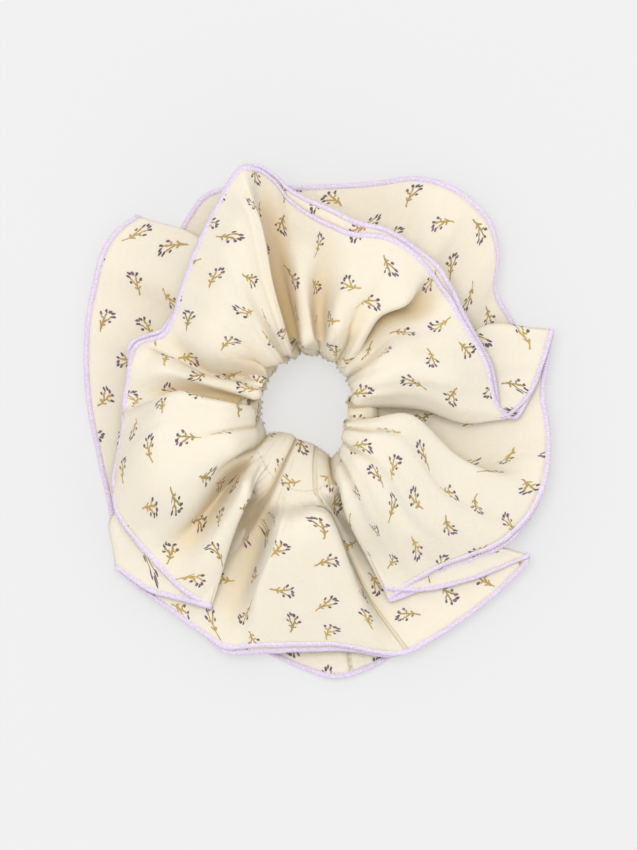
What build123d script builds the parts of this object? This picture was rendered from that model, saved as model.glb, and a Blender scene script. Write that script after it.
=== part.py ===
from build123d import *
from collections import namedtuple
from math import atan2, cos, degrees, hypot, pi, sin
import os

# A ruffled fabric hair scrunchie lying on a table.  Two fabric strips lie face to face, and two
# rows of stitches between them make a channel that holds a loop of flat elastic.  Above the
# channel the strips fall outward as the upper frill, and below it as the lower frill, so each
# frill has two leaves: an outer one, from the strip that faces the hair, and an inner one.
# Millimetres, +Z up, origin under the middle of the part on the table's surface.

# --- cloth, thread and elastic -------------------------------------------------------------
CLOTH = 0.7                # a cloth leaf with its crimp and air, so that its mass is right
LEAF_GAP = 1.6             # from a leaf to the one that lies under it
INNER_TRIM = 2.0           # the inner leaves stop this far short of the outer ones
HEM_WIDTH = 1.6            # rolled overlock edge, across
HEM_HEIGHT = 1.3           # rolled overlock edge, thick
THREAD = 0.4               # sewing thread, thick
STITCH_LENGTH = 2.2
STITCHES_PER_ROW = 36
ELASTIC_THICK = 1.0
ELASTIC_BOTTOM = 10.5
ELASTIC_TOP = 18.5
ELASTIC_LAP = 14.0         # how far the sewn ends of the elastic lie over each other
LAP_DEPTH = 6.0            # deep enough to hold the lapped end's curve
TACKS_PER_ROW = 6          # stitches that hold the lap
TACK_ROWS = 3
TACK_PITCH = 1.8
TACK_SPREAD = 2.5

# --- the channel round the hole: an oval wall, leaning a little ----------------------------
LOW_SEAM_HEIGHT = 8.0
TOP_SEAM_HEIGHT = 21.0
LOW_OVAL_CENTRE = (-3.2, 5.0)
LOW_OVAL_RADII = (17.8, 19.8)
TOP_OVAL_CENTRE = (-4.2, 2.0)
TOP_OVAL_RADII = (18.8, 24.8)
ELASTIC_INSET = 1.2        # from the wall that faces the hole to the elastic
OUTER_WALL_INSET = 3.8     # from the wall that faces the hole to the outer wall
SEAM_DROP = 1.0            # the outer wall stops this far inside the two seams
STITCH_DROP = 1.6          # the channel's two rows of stitches run this far inside the seams
SURFACE_GAP = 0.15         # a stitch lies this far off the cloth it holds

# --- frill shape ---------------------------------------------------------------------------
SECTIONS = 72              # cross-sections round each leaf
ARCS = 8                   # arcs that a leaf is lofted in
UPPER_PUFF = 9.0           # how far the upper frill arches above a straight line
SETTLE = 0.2               # how far the lowest leaf is pressed into the table before trimming
PROFILE = (0.0, 0.08, 0.2, 0.4, 0.6, 0.8, 1.0)

# Edge of the upper frill, seen from above and going clockwise: X, Y and height.
UPPER_EDGE = [
    (-67.0, -47.0, 5.5),
    (-70.0, -24.5, 8.0),
    (-68.5, -11.0, 8.0),
    (-65.5, 5.5, 9.0),
    (-63.5, 17.0, 11.0),
    (-60.0, 28.0, 14.0),
    (-51.5, 31.5, 14.5),
    (-44.5, 47.5, 19.0),
    (-38.0, 64.0, 26.0),
    (-32.0, 76.0, 31.0),
    (-25.0, 84.2, 34.0),
    (-11.0, 77.0, 31.0),
    (7.0, 65.5, 28.0),
    (24.0, 62.0, 26.0),
    (37.5, 51.5, 23.0),
    (52.0, 38.0, 18.0),
    (76.5, 30.0, 9.0),
    (76.0, 15.0, 8.0),
    (77.0, -4.5, 9.0),
    (75.5, -18.0, 9.0),
    (70.5, -34.0, 8.0),
    (68.0, -46.0, 6.0),
    (56.0, -58.5, 5.5),
    (39.0, -71.5, 5.5),
    (25.5, -77.5, 6.0),
    (10.5, -75.5, 7.0),
    (-6.0, -74.5, 8.0),
    (-29.0, -73.5, 7.0),
    (-46.5, -64.0, 6.0),
    (-58.0, -56.0, 5.5),
]

# Edge of the lower frill, likewise.
LOWER_EDGE = [
    (-64.5, -42.0, 0.0),
    (-70.0, -25.0, 0.5),
    (-74.5, -8.0, 1.5),
    (-76.8, 9.0, 2.0),
    (-77.0, 32.0, 2.0),
    (-75.0, 46.0, 2.0),
    (-69.5, 62.5, 2.5),
    (-61.0, 68.5, 2.0),
    (-43.0, 70.5, 1.0),
    (-31.0, 78.0, 0.5),
    (-16.0, 80.0, 0.5),
    (7.0, 80.5, 1.5),
    (27.5, 81.5, 2.0),
    (41.0, 80.8, 2.0),
    (52.5, 75.0, 1.5),
    (59.5, 62.0, 1.0),
    (60.0, 47.0, 0.5),
    (70.0, 31.0, 0.0),
    (73.5, 17.0, 0.0),
    (74.0, -1.0, 0.0),
    (72.5, -20.0, 0.0),
    (66.0, -38.0, 0.0),
    (56.0, -53.0, 0.0),
    (40.0, -68.0, 0.0),
    (24.0, -78.5, 0.5),
    (7.0, -83.5, 1.0),
    (-3.0, -82.0, 1.0),
    (-21.0, -74.5, 0.0),
    (-38.0, -66.5, 0.0),
    (-52.5, -56.0, 0.0),
]

# Each strip's cut ends are sewn together along a line across its leaves, at these bearings.
OUTER_STRIP_JOIN = -1.23   # radians from +X, seen from above
INNER_STRIP_JOIN = -1.11
JOIN_STITCHES = 14
JOIN_START = 0.24          # as a part of the leaf's width, out from the channel
JOIN_END = 0.94

# A leaf of a frill: the edge it reaches to, how far it is trimmed back from that edge, the
# height of its underside at the seam, its rim's inset there, its height rule, and how far it
# lies under (or over, if negative) the frill's other leaf.
Leaf = namedtuple("Leaf", "edge trim seam_height inset rise drop")


def oval_at(height, inset):
    """Centre and radii of the channel's oval at a height, this far out from its inner wall."""
    rise = (height - LOW_SEAM_HEIGHT) / (TOP_SEAM_HEIGHT - LOW_SEAM_HEIGHT)
    centre = [low + (top - low) * rise for low, top in zip(LOW_OVAL_CENTRE, TOP_OVAL_CENTRE)]
    radii = [low + (top - low) * rise + inset for low, top in zip(LOW_OVAL_RADII, TOP_OVAL_RADII)]
    return centre, radii


def oval_radius(radii, angle):
    """How far an oval reaches from its centre at a polar angle."""
    across, along = radii
    return across * along / hypot(along * cos(angle), across * sin(angle))


def oval_ring(bottom, top, inner, outer):
    """Add a leaning oval ring between two heights and two insets to the part being built."""
    for inset, mode in ((outer, Mode.ADD), (inner, Mode.SUBTRACT)):
        ends = []
        for height in (bottom, top):
            centre, radii = oval_at(height, inset)
            with BuildSketch(Plane.XY.offset(height)) as end:
                with Locations(tuple(centre)):
                    Ellipse(*radii)
            ends.append(end.sketch)
        loft(ends, ruled=True, mode=mode)


def upper_height(fraction, start, end):
    """Height of the upper frill: it arches up from the seam and then falls to its edge."""
    return start + (end - start) * fraction + UPPER_PUFF * sin(pi * fraction ** 0.75)


def lower_height(fraction, start, end):
    """Height of the lower frill: it drops from the seam and lies on the table."""
    drop = (start + SETTLE) * max(0.0, 1.0 - fraction / 0.4) ** 2
    lift = (end + SETTLE) * max(0.0, (fraction - 0.6) / 0.4) ** 2
    return drop + lift - SETTLE


def radial_plane(centre, angle):
    """Upright plane through the oval's axis, with its X outward and its Y up."""
    outward = (cos(angle), sin(angle), 0)
    sideways = (sin(angle), -cos(angle), 0)
    return Plane(origin=(*centre, 0), x_dir=outward, z_dir=sideways)


def leaf_centre(leaf):
    """Centre of the oval where a leaf leaves the channel."""
    return oval_at(leaf.seam_height, leaf.inset)[0]


def edge_samples(leaf):
    """Angle, reach and height of a leaf's edge, at even steps round it."""
    centre = leaf_centre(leaf)
    with BuildLine() as outline:
        Spline(*leaf.edge, periodic=True)
    samples = []
    for step in range(SECTIONS):
        point = outline.edges()[0] @ (step / SECTIONS)
        out_x = point.X - centre[0]
        out_y = point.Y - centre[1]
        samples.append((atan2(out_y, out_x), hypot(out_x, out_y) - leaf.trim, point.Z))
    return samples


def underside(leaf, sample):
    """A leaf's underside in one upright section, as (out, up) points."""
    angle, reach, edge_height = sample
    rim = oval_radius(oval_at(leaf.seam_height, leaf.inset)[1], angle)
    line = []
    for fraction in PROFILE:
        height = leaf.rise(fraction, leaf.seam_height, edge_height)
        height -= leaf.drop * min(1.0, fraction / PROFILE[1])
        line.append((rim + (reach - rim) * fraction, height))
    return line


def leaf_section(leaf, sample):
    """Closed section of a leaf, one cloth thickness deep."""
    line = underside(leaf, sample)
    return line + [(out, up + CLOTH) for out, up in reversed(line)]


def hem_section(leaf, sample):
    """Closed section of the rolled edge, which caps the leaf's raw edge."""
    out, up = underside(leaf, sample)[-1]
    low = max(0.0, up + (CLOTH - HEM_HEIGHT) / 2)
    far = out + HEM_WIDTH
    high = low + HEM_HEIGHT
    return [(out, low), (far, low), (far, high), (out, high)]


def loft_round(leaf, section):
    """Loft a leaf's upright sections into a closed ring, one short arc at a time."""
    centre = leaf_centre(leaf)
    samples = edge_samples(leaf)
    arc_steps = SECTIONS // ARCS
    for first in range(0, SECTIONS, arc_steps):
        cuts = []
        for step in range(arc_steps + 1):
            sample = samples[(first + step) % SECTIONS]
            with BuildSketch(radial_plane(centre, sample[0])) as cut:
                with BuildLine():
                    Polyline(*section(leaf, sample), close=True)
                make_face()
            cuts.append(cut.sketch)
        loft(cuts, ruled=True, clean=False)


def stitch_row(height, inset):
    """Add a row of straight stitches round the channel at a height and an inset."""
    centre, radii = oval_at(height, inset)
    places = []
    for step in range(STITCHES_PER_ROW):
        angle = 2 * pi * step / STITCHES_PER_ROW
        reach = oval_radius(radii, angle)
        spot = (centre[0] + reach * cos(angle), centre[1] + reach * sin(angle), height)
        heading = atan2(radii[0] * sin(angle), radii[1] * cos(angle)) + pi / 2
        places.append(Location(spot, (0, 0, degrees(heading))))
    with Locations(*places):
        Box(STITCH_LENGTH, THREAD, THREAD)


def join_row(leaf, bearing, side):
    """Add the stitches that close a strip into a loop, above (+1) or under (-1) its leaf."""
    sample = min(edge_samples(leaf), key=lambda entry: abs(entry[0] - bearing))
    offset = THREAD / 2 + SURFACE_GAP
    level = CLOTH + offset if side > 0 else -offset
    with BuildLine() as path:
        Polyline(*[(out, up + level) for out, up in underside(leaf, sample)])
    run = path.wires()[0]
    frame = radial_plane(leaf_centre(leaf), sample[0]).location
    places = []
    for step in range(JOIN_STITCHES):
        part_way = JOIN_START + (JOIN_END - JOIN_START) * step / (JOIN_STITCHES - 1)
        spot = run @ part_way
        lean = run % part_way
        turn = degrees(atan2(lean.Y, lean.X))
        places.append(frame * Location((spot.X, spot.Y, 0), (0, 0, turn)))
    with Locations(*places):
        Box(STITCH_LENGTH, THREAD, THREAD)


def save(finished, name):
    """Label a finished piece and write it to its own file."""
    finished.part.label = name
    export_step(finished.part, f"parts/{name}.step")
    print(f"{name}: {finished.part.volume:.0f} cubic mm")


os.makedirs("parts", exist_ok=True)

outer_top = TOP_SEAM_HEIGHT - SEAM_DROP
outer_low = LOW_SEAM_HEIGHT + SEAM_DROP
LEAVES = {
    "upper_frill_outer": Leaf(UPPER_EDGE, 0.0, TOP_SEAM_HEIGHT, 0.0, upper_height, 0.0),
    "upper_frill_inner": Leaf(UPPER_EDGE, INNER_TRIM, outer_top, OUTER_WALL_INSET, upper_height,
                              LEAF_GAP),
    "lower_frill_inner": Leaf(LOWER_EDGE, INNER_TRIM, outer_low - CLOTH, OUTER_WALL_INSET,
                              lower_height, -LEAF_GAP),
    "lower_frill_outer": Leaf(LOWER_EDGE, 0.0, LOW_SEAM_HEIGHT - CLOTH, 0.0, lower_height, 0.0),
}

# --- the four leaves, each with its overlocked edge -----------------------------------------
for name, leaf in LEAVES.items():
    with BuildPart() as cloth:
        loft_round(leaf, leaf_section)
        split(bisect_by=Plane.XY, keep=Keep.TOP)
    save(cloth, name + "_leaf")
    with BuildPart() as hem:
        loft_round(leaf, hem_section)
    save(hem, name + "_overlock_edge")

# --- the channel's two walls ----------------------------------------------------------------
with BuildPart() as casing_inner_wall:
    oval_ring(LOW_SEAM_HEIGHT, TOP_SEAM_HEIGHT, 0.0, CLOTH)
save(casing_inner_wall, "casing_inner_wall")

with BuildPart() as casing_outer_wall:
    oval_ring(outer_low, outer_top, OUTER_WALL_INSET, OUTER_WALL_INSET + CLOTH)
save(casing_outer_wall, "casing_outer_wall")

# --- the elastic: one flat loop whose ends lie over each other and are sewn ------------------
elastic_outside = ELASTIC_INSET + ELASTIC_THICK
lap_height = (ELASTIC_BOTTOM + ELASTIC_TOP) / 2
lap_centre, lap_radii = oval_at(lap_height, elastic_outside)
lap_face = lap_centre[0] + lap_radii[0]

with BuildPart() as elastic_join_stitches:
    with Locations(Plane(origin=(lap_face, lap_centre[1], lap_height), z_dir=(1, 0, 0))):
        with GridLocations(TACK_SPREAD, TACK_PITCH, TACK_ROWS, TACKS_PER_ROW):
            Cylinder(THREAD / 2, 2 * ELASTIC_THICK + THREAD)
save(elastic_join_stitches, "elastic_join_stitches")

with BuildPart() as lapped_end:
    oval_ring(ELASTIC_BOTTOM, ELASTIC_TOP, elastic_outside, elastic_outside + ELASTIC_THICK)
    with Locations((lap_face, lap_centre[1], lap_height)):
        Box(LAP_DEPTH, ELASTIC_LAP, ELASTIC_TOP - ELASTIC_BOTTOM, mode=Mode.INTERSECT)

with BuildPart() as elastic_band:
    oval_ring(ELASTIC_BOTTOM, ELASTIC_TOP, ELASTIC_INSET, elastic_outside)
    add(lapped_end.part)
    add(elastic_join_stitches.part, mode=Mode.SUBTRACT)
save(elastic_band, "elastic_band")

# --- the two rows of stitches that close the channel, seen on both of its walls --------------
rows = {
    "top_channel_stitches": TOP_SEAM_HEIGHT - STITCH_DROP,
    "low_channel_stitches": LOW_SEAM_HEIGHT + STITCH_DROP,
}
stitch_offset = THREAD / 2 + SURFACE_GAP
for name, height in rows.items():
    with BuildPart() as channel_stitches:
        stitch_row(height, -stitch_offset)
        stitch_row(height, OUTER_WALL_INSET + CLOTH + stitch_offset)
    save(channel_stitches, name)

# --- the stitches that close each strip into a loop, hidden between the leaves ---------------
with BuildPart() as outer_strip_join_stitches:
    join_row(LEAVES["upper_frill_outer"], OUTER_STRIP_JOIN, -1)
    join_row(LEAVES["lower_frill_outer"], OUTER_STRIP_JOIN, 1)
save(outer_strip_join_stitches, "outer_strip_join_stitches")

with BuildPart() as inner_strip_join_stitches:
    join_row(LEAVES["upper_frill_inner"], INNER_STRIP_JOIN, 1)
    join_row(LEAVES["lower_frill_inner"], INNER_STRIP_JOIN, -1)
save(inner_strip_join_stitches, "inner_strip_join_stitches")
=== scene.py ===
import math

import bpy
import numpy as np
from bpy.props import FloatProperty, FloatVectorProperty, IntProperty, PointerProperty
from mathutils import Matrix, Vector


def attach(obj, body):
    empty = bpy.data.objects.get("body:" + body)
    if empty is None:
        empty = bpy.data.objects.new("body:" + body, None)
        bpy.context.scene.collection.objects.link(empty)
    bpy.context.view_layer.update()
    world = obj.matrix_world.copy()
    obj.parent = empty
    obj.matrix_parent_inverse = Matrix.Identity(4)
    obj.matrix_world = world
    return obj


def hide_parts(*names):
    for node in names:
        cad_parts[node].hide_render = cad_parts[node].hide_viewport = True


bl_info = {
    "name": "Ruffled Scrunchie",
    "version": (1, 0, 0),
    "blender": (4, 5, 0),
    "location": "View3D > Sidebar > Scrunchie",
    "description": "Builds a layered, overlocked cloth scrunchie around its CAD frame",
    "category": "Object",
}

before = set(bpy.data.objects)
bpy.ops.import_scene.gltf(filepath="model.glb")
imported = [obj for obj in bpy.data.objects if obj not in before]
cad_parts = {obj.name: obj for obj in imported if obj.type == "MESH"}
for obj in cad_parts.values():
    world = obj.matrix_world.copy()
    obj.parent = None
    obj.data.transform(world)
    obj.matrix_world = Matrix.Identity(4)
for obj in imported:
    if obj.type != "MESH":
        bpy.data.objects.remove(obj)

MM = 0.001                 # the tables below are in millimetres, the scene in metres

# ---------------------------------------------------------------------------------------------
# How the cloth lies.  Each row is one line across a frill, from the channel out to the edge:
# the bearing where it leaves the channel, a point a third of the way out, a point two thirds
# of the way out, the point on the edge, how far the edge is tucked under, and how far the
# inner strip's edge reaches past it, which is nothing on the lower frill and left out of its
# rows.  Rows go clockwise, seen from above.
# ---------------------------------------------------------------------------------------------
UPPER_FOLDS = [
    # fold, lower left, top layer turns under
    (229, (-25.5, -29, 28), (-31, -45, 18), (-36, -61, 10.5), 0, -1),
    (223.5, (-26.5, -23, 30), (-36.5, -41, 22), (-45, -55.5, 12.5), 0, -0.8),
    # valley between two puffs
    (218, (-29, -19, 15), (-40.5, -33, 14), (-53, -47.5, 13), 0, -0.8),
    (210, (-31.5, -15.5, 32), (-45.5, -29, 26), (-61.5, -38, 13.5), 0, -0.8),
    (196, (-35.5, -8.5, 35), (-55, -20, 29), (-67.5, -29, 13.5), 0, -0.8),
    (184, (-39.5, -1.5, 34), (-58, -8, 29), (-69, -21, 12), 1, -0.8),
    # edge tucked under
    (175, (-38.5, 4, 33), (-56.5, 0.5, 29), (-68, -9.5, 12), 2, -0.8),
    # ridge above the left panel
    (167, (-35.5, 9, 31), (-51.5, 10, 28.5), (-66, 0.5, 13), 1.5, -0.8),
    # valley
    (162, (-33.5, 8.5, 17.5), (-49.5, 9.5, 18.5), (-65, 7.5, 14), 0, -0.5),
    (156, (-34.5, 12.5, 22), (-51.5, 17, 25), (-64, 14.5, 15.5), 0, 0),
    (150, (-35.5, 14.5, 20), (-52, 21.5, 21), (-63, 21, 17), 0, 0.5),
    # pocket
    (144, (-33, 13.5, 18), (-49, 23, 14), (-60.5, 27, 19), 0, 1.5),
    (138, (-29, 13.5, 20), (-45, 20, 17), (-56, 28.5, 18), 0, 2),
    # valley under the peak
    (131, (-25.5, 16, 19), (-39.5, 19.5, 18), (-52, 30, 18.5), 0, 1.5),
    (125, (-25, 19.5, 30), (-39, 25.5, 28), (-48.5, 35, 20), 0, 1.5),
    (119, (-25.5, 27, 34), (-37, 35.5, 32), (-46.5, 42, 22), 0, 1),
    (114, (-24, 34, 36), (-34, 45.5, 35), (-43.5, 51.5, 25), 0, 1),
    (110, (-22, 40.5, 38), (-30.5, 56.5, 38), (-39.5, 61.5, 29), 0, 1),
    (106, (-19, 45.5, 40), (-25.5, 68.5, 42), (-33.5, 73, 34), 0, 1),
    (103.5, (-16, 46, 41), (-22.5, 70.5, 44), (-28.5, 81.5, 38), 0, 1),
    # ridge up to the peak
    (101, (-13.5, 45.5, 39), (-18.5, 67.5, 44), (-25.5, 85, 40), 0, 0.5),
    # valley right of the peak
    (98, (-12.5, 42, 23), (-17.5, 62.5, 27), (-20.5, 84.5, 38), 0, 0.8),
    (94, (-10, 43.5, 23), (-12, 61.5, 26), (-14.5, 80.5, 35), 0, 2),
    (89, (-7, 44, 29), (-7.5, 60.5, 27), (-9.5, 74.5, 33), 0, 3.5),
    (83, (-3, 42, 29), (-2.5, 57.5, 27), (-3.5, 70, 32), 0, 4.5),
    # crease
    (77, (0.5, 36, 20), (2, 54, 25), (3, 66.5, 31), 0, 5),
    (70, (5, 36, 31), (8.5, 51.5, 28), (11, 63.5, 30), 0, 4),
    (64, (10, 37, 32), (16, 50.5, 29), (21.5, 62.5, 29), 0, 2.5),
    (60, (14.5, 38, 31), (23.5, 48, 31), (28.5, 59.5, 28), 0, 2),
    # ridge above the right panel
    (56.5, (19.5, 35, 29.5), (30.5, 41, 30), (35.5, 53, 27), 0, 3),
    # valley
    (52.5, (18.5, 36, 16), (30.5, 41.5, 17.5), (40, 47, 25), 0, 2.5),
    (47, (23.5, 31, 23), (35.5, 35, 22.5), (44, 41.5, 23), 0, 2),
    (42, (26, 25, 29), (38.5, 28, 26), (48, 34, 22), 0, 2),
    (37, (28, 20, 31), (42, 22, 28), (53.5, 25.5, 20.5), 0, 2),
    (32, (29, 15.5, 30), (44.5, 15.5, 28), (57, 17, 19), 0, 2.5),
    (27, (29.5, 11.5, 27), (46.5, 9.5, 25), (58.5, 10, 17.5), 0, 2),
    (23.5, (30.5, 8, 23), (48, 4, 21), (61, 5, 16), 0, 0),
    # fold, right, top layer turns under
    (20.5, (32, 6, 19), (50, 0.5, 16), (65, 2, 13.5), 0, -4),
    # middle layer
    (17.5, (34, 9.5, 16), (53.5, 8.5, 12.5), (70, 9, 12), 0, -0.5),
    (14.5, (35.5, 12.5, 14), (55.5, 19, 11.5), (74.5, 20, 11.5), 0, 0),
    # fold, right, middle layer turns under
    (12, (35.5, 16, 12.5), (57.5, 33, 10.5), (78, 31, 10.8), 0, 0),
    (9.5, (36.5, 11.5, 10.5), (60, 22, 9), (76.5, 21.5, 9.6), 0, -0.5),
    (6, (37.5, 7, 10.5), (61, 10.5, 9), (75, 10.5, 9.6), 0, -0.5),
    (2, (37.5, 2.5, 12), (61, 0.5, 9.5), (76.5, 0.5, 10.5), 0, -0.5),
    # valley
    (-3, (28.5, -1.5, 15), (48, -14.5, 9.8), (77, -9.5, 11), 0, -0.5),
    # ridge of the lower right panel
    (-9, (28.5, 4, 28), (48.5, -12, 22), (73.5, -25, 12), 0, 0.5),
    (-15, (26.5, -1.5, 31), (44.5, -21.5, 23), (68, -33, 12.5), 0, 1.5),
    (-22, (23.5, -6.5, 32), (40, -26.5, 24), (61, -39, 13), 0, 2.5),
    (-30, (20, -11.5, 33), (34, -31.5, 25), (51, -43.5, 13), 0, 3.5),
    (-39, (16.5, -17.5, 32), (28, -36.5, 24), (40.5, -47, 13), 0, 3.5),
    (-48, (13, -23, 30), (22.5, -41, 21), (31.5, -52.5, 12.5), 0, 2),
    # fold, lower right, top layer turns under
    (-56, (9, -29, 26), (16.5, -45.5, 16), (23.5, -58.5, 11.2), 0, -5),
    # middle layer
    (-61, (12.5, -28, 17), (25.5, -43.5, 11.5), (34, -55, 9.8), 0, 0),
    (-65, (16, -26.5, 13), (34, -41, 10), (51, -51.5, 9.4), 0, 0),
    # fold, lower right, middle layer turns under
    (-69, (18, -25, 10), (44, -38, 8.8), (70, -45, 8.8), 0, 0),
    (-73, (15, -30, 8.6), (37.5, -46.5, 7.6), (61, -55, 7.6), 0, -0.5),
    (-77, (12.5, -35, 10), (29, -54.5, 8), (49, -64.5, 7.6), 0, -0.5),
    (-80, (9, -38, 13), (21.5, -58.5, 9.5), (37.5, -72, 8), 0, -0.5),
    # right side of the bottom panel
    (-82.5, (5.5, -35, 15), (16, -58.5, 10), (28, -76.5, 8.4), 0, 0),
    # ridge of the bottom panel, right
    (-86, (4.5, -34, 28), (14, -57.5, 18), (22, -76.5, 9.3), 0, 1.5),
    (-90.5, (0, -34, 31), (6, -58.5, 20), (14, -75, 10.2), 0, 2),
    (-95, (-5.5, -36.5, 31), (-3, -58.5, 20), (5.5, -73.5, 11), 0, 3),
    (-101, (-11, -37.5, 30), (-13, -58.5, 20), (-8, -73.5, 11.5), 0, 3),
    # ridge of the bottom panel, left
    (-106.5, (-15.5, -37, 28), (-22.5, -57.5, 19), (-23, -74, 11), 0, 3),
    # left side of the bottom panel
    (-110, (-18.5, -37.5, 15), (-25.5, -56.5, 10.5), (-30.5, -74.5, 9.5), 0, 1.5),
    (-114, (-24.5, -38, 11), (-34.5, -53.5, 8.5), (-39.5, -69, 8.2), 0, 0),
    (-118, (-31.5, -33, 9), (-49.5, -46.5, 7.8), (-51.5, -60.5, 7.8), 0, -0.5),
    (-121.5, (-38, -26.5, 8.6), (-60, -38, 7.6), (-60, -54.5, 7.6), 0, -0.5),
    # fold, lower left, lowest layer turns under
    (-124.5, (-41.5, -21.5, 9.4), (-68, -31.5, 8.4), (-67, -48, 8.6), 0, 0),
    # middle layer
    (-127, (-34.5, -25, 12), (-53, -38, 9.8), (-56.5, -53.5, 9.6), 0, 1.5),
    (-129, (-29, -27.5, 18), (-40.5, -43, 12), (-45.5, -57, 9.8), 0, 1),
]

LOWER_FOLDS = [
    (226, (-29, -25, 5), (-49.5, -41, 4), (-66, -46, 3.2), 0),
    (214, (-34.5, -18, 3), (-56.5, -25.5, 2), (-70, -26.5, 2.2), 0),
    (199, (-38, -9.5, 2.5), (-58, -10.5, 1.2), (-74, -8.5, 2), 0),
    (185, (-38, 0.5, 2.5), (-58, 3.5, 1.4), (-77, 7, 2.5), 0),
    (174, (-38, 8.5, 2.5), (-57, 19, 1.8), (-78, 25.5, 3), 0),
    (164, (-36.5, 17, 2.5), (-56.5, 30.5, 3), (-77, 38, 3.2), 0),
    # dent in the left flap
    (157, (-34.5, 24, 3), (-56.5, 40.5, 1.6), (-75, 47.5, 3.6), 0),
    (150, (-32.5, 30.5, 4.5), (-55, 49, 4.2), (-72.5, 57, 4.6), 0),
    (143, (-29.5, 38, 6), (-49.5, 58.5, 5.4), (-68, 64.5, 5), 0),
    # fold, upper left
    (137, (-27.5, 46, 6.4), (-43, 64.5, 5.6), (-60.5, 69.5, 4.8), 0),
    (133.5, (-27.5, 42, 4.2), (-45.5, 56.5, 3.7), (-62, 59, 3.7), 0),
    (130.5, (-27.5, 40.5, 2.6), (-46.5, 47, 2), (-61.5, 45, 2.2), 0),
    (128, (-25.5, 43, 2), (-43, 55, 1), (-55, 55, 1), 0),
    (125, (-23.5, 45.5, 2), (-39, 60.5, 1), (-46.5, 64.5, 1.4), 0),
    (121, (-22.5, 47.5, 2.7), (-35, 64.5, 2), (-43, 70.5, 2.4), 0),
    (116, (-20.5, 49.5, 5), (-30.5, 68.5, 4.2), (-37.5, 77, 4.6), 0),
    (109, (-17, 52.5, 7.2), (-24.5, 71.5, 6.9), (-29.5, 79.5, 6.5), 0),
    (101, (-12, 53, 9.5), (-16, 71.5, 9.1), (-19, 79.5, 8.6), 0),
    (91, (-6, 54, 9.5), (-6, 71.5, 8.9), (-6, 79.5, 8.6), 0),
    (80, (2, 54, 9), (5.5, 71.5, 8.9), (8, 80, 9), 0),
    (69, (10.5, 53, 9), (18, 70.5, 9.1), (20.5, 81, 9.5), 0),
    (59, (18, 50.5, 9.5), (27.5, 68.5, 9.5), (32.5, 82.5, 10), 0),
    (50, (24.5, 46, 10.5), (35.5, 65, 11.5), (43, 80, 10.8), 0),
    # ridge in the far right flap
    (43.5, (29, 43, 11), (40.5, 59, 12.5), (51.5, 74.5, 10.8), 0),
    (37.5, (32.5, 39, 9.5), (44.5, 52.5, 9.5), (57.5, 67.5, 10), 0),
    (31.5, (34.5, 34, 9), (49, 45.5, 9.5), (60, 57.5, 10), 0),
    (25.5, (36.5, 27, 7.4), (52.5, 37, 7.4), (59, 45.5, 8.1), 0),
    (19, (38, 21.5, 5.2), (55, 29, 5.2), (65, 34, 4.7), 0),
    (12, (39.5, 13.5, 3.2), (57, 17, 2.4), (71.5, 21.5, 2.3), 0),
    # fold, right
    (6, (39.5, 8, 2.6), (57.5, 7, 2), (73, 4.5, 1.8), 0),
    (2, (39.5, 12, 4), (57, 14.5, 3.6), (72, 15.5, 3.5), 0),
    # fold, right
    (-2, (39.5, 14.5, 5.4), (56, 21.5, 5), (71, 26, 5), 0),
    (-7, (39.5, 7, 5.6), (58, 8.5, 5.2), (74, 10.5, 5.2), 0),
    (-13, (38.5, -1.5, 4.5), (57.5, -3, 4), (73.5, -4.5, 4), 0),
    (-19, (36.5, -9.5, 3.5), (55.5, -14.5, 3), (71, -18, 3), 0),
    (-26, (33.5, -17.5, 4), (51, -26.5, 3.4), (65, -30, 3), 0),
    (-34, (29, -24, 5), (44, -35.5, 4.6), (56, -44, 4.8), 0),
    # fold, lower right
    (-41, (24.5, -30, 5.5), (35.5, -45, 5), (42.5, -59, 5), 0),
    (-46, (27.5, -26.5, 4), (40.5, -39, 3.6), (54, -47.5, 3.6), 0),
    # fold, lower right
    (-51, (28, -25, 2.8), (44, -35.5, 2), (62.5, -38, 2), 0),
    (-56, (24, -30, 2), (38, -43, 1), (51, -53.5, 1), 0),
    (-63, (17.5, -36.5, 2), (28, -53.5, 1), (37.5, -67.5, 1), 0),
    (-70, (10.5, -41, 2), (19, -60, 1), (25.5, -76.5, 1.6), 0),
    (-78, (5.5, -44, 2.2), (11, -63.5, 1.5), (15.5, -82, 2.5), 0),
    (-87, (0, -45.5, 2.5), (4, -65, 1.8), (5.5, -84.5, 3), 0),
    (-95, (-6, -45.5, 2.5), (-4.5, -65, 1.4), (-3.5, -82, 2), 0),
    (-104, (-12, -45, 2.2), (-17, -62.5, 1), (-19.5, -75, 1), 0),
    (-111, (-17.5, -42, 2.2), (-26.5, -59.5, 1), (-32.5, -69.5, 1), 0),
    (-117, (-23, -37.5, 2.2), (-38, -53.5, 1), (-48, -60, 1), 0),
    # fold, lower left
    (-121, (-26.5, -33, 2.8), (-46.5, -47.5, 1.8), (-57, -54.5, 1.8), 0),
    (-124, (-23.5, -35.5, 4.5), (-38, -51.5, 3.6), (-44.5, -60.5, 3.4), 0),
    # fold, lower left
    (-127, (-21, -36.5, 6.5), (-29.5, -55, 5), (-33.5, -65, 4.6), 0),
    (-130, (-25, -32, 6.5), (-39.5, -48, 5.6), (-46.5, -58.5, 5.4), 0),
]

# Channel round the hole: centre and radii of its top and low seams.
TOP_SEAM_CENTRE = (-4.2, 2.0)
TOP_SEAM_RADII = (18.6, 24.6)
TOP_SEAM_HEIGHT = 20.0
LOW_SEAM_CENTRE = (-3.2, 5.0)
LOW_SEAM_RADII = (17.8, 19.8)
LOW_SEAM_HEIGHT = 8.6

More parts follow.
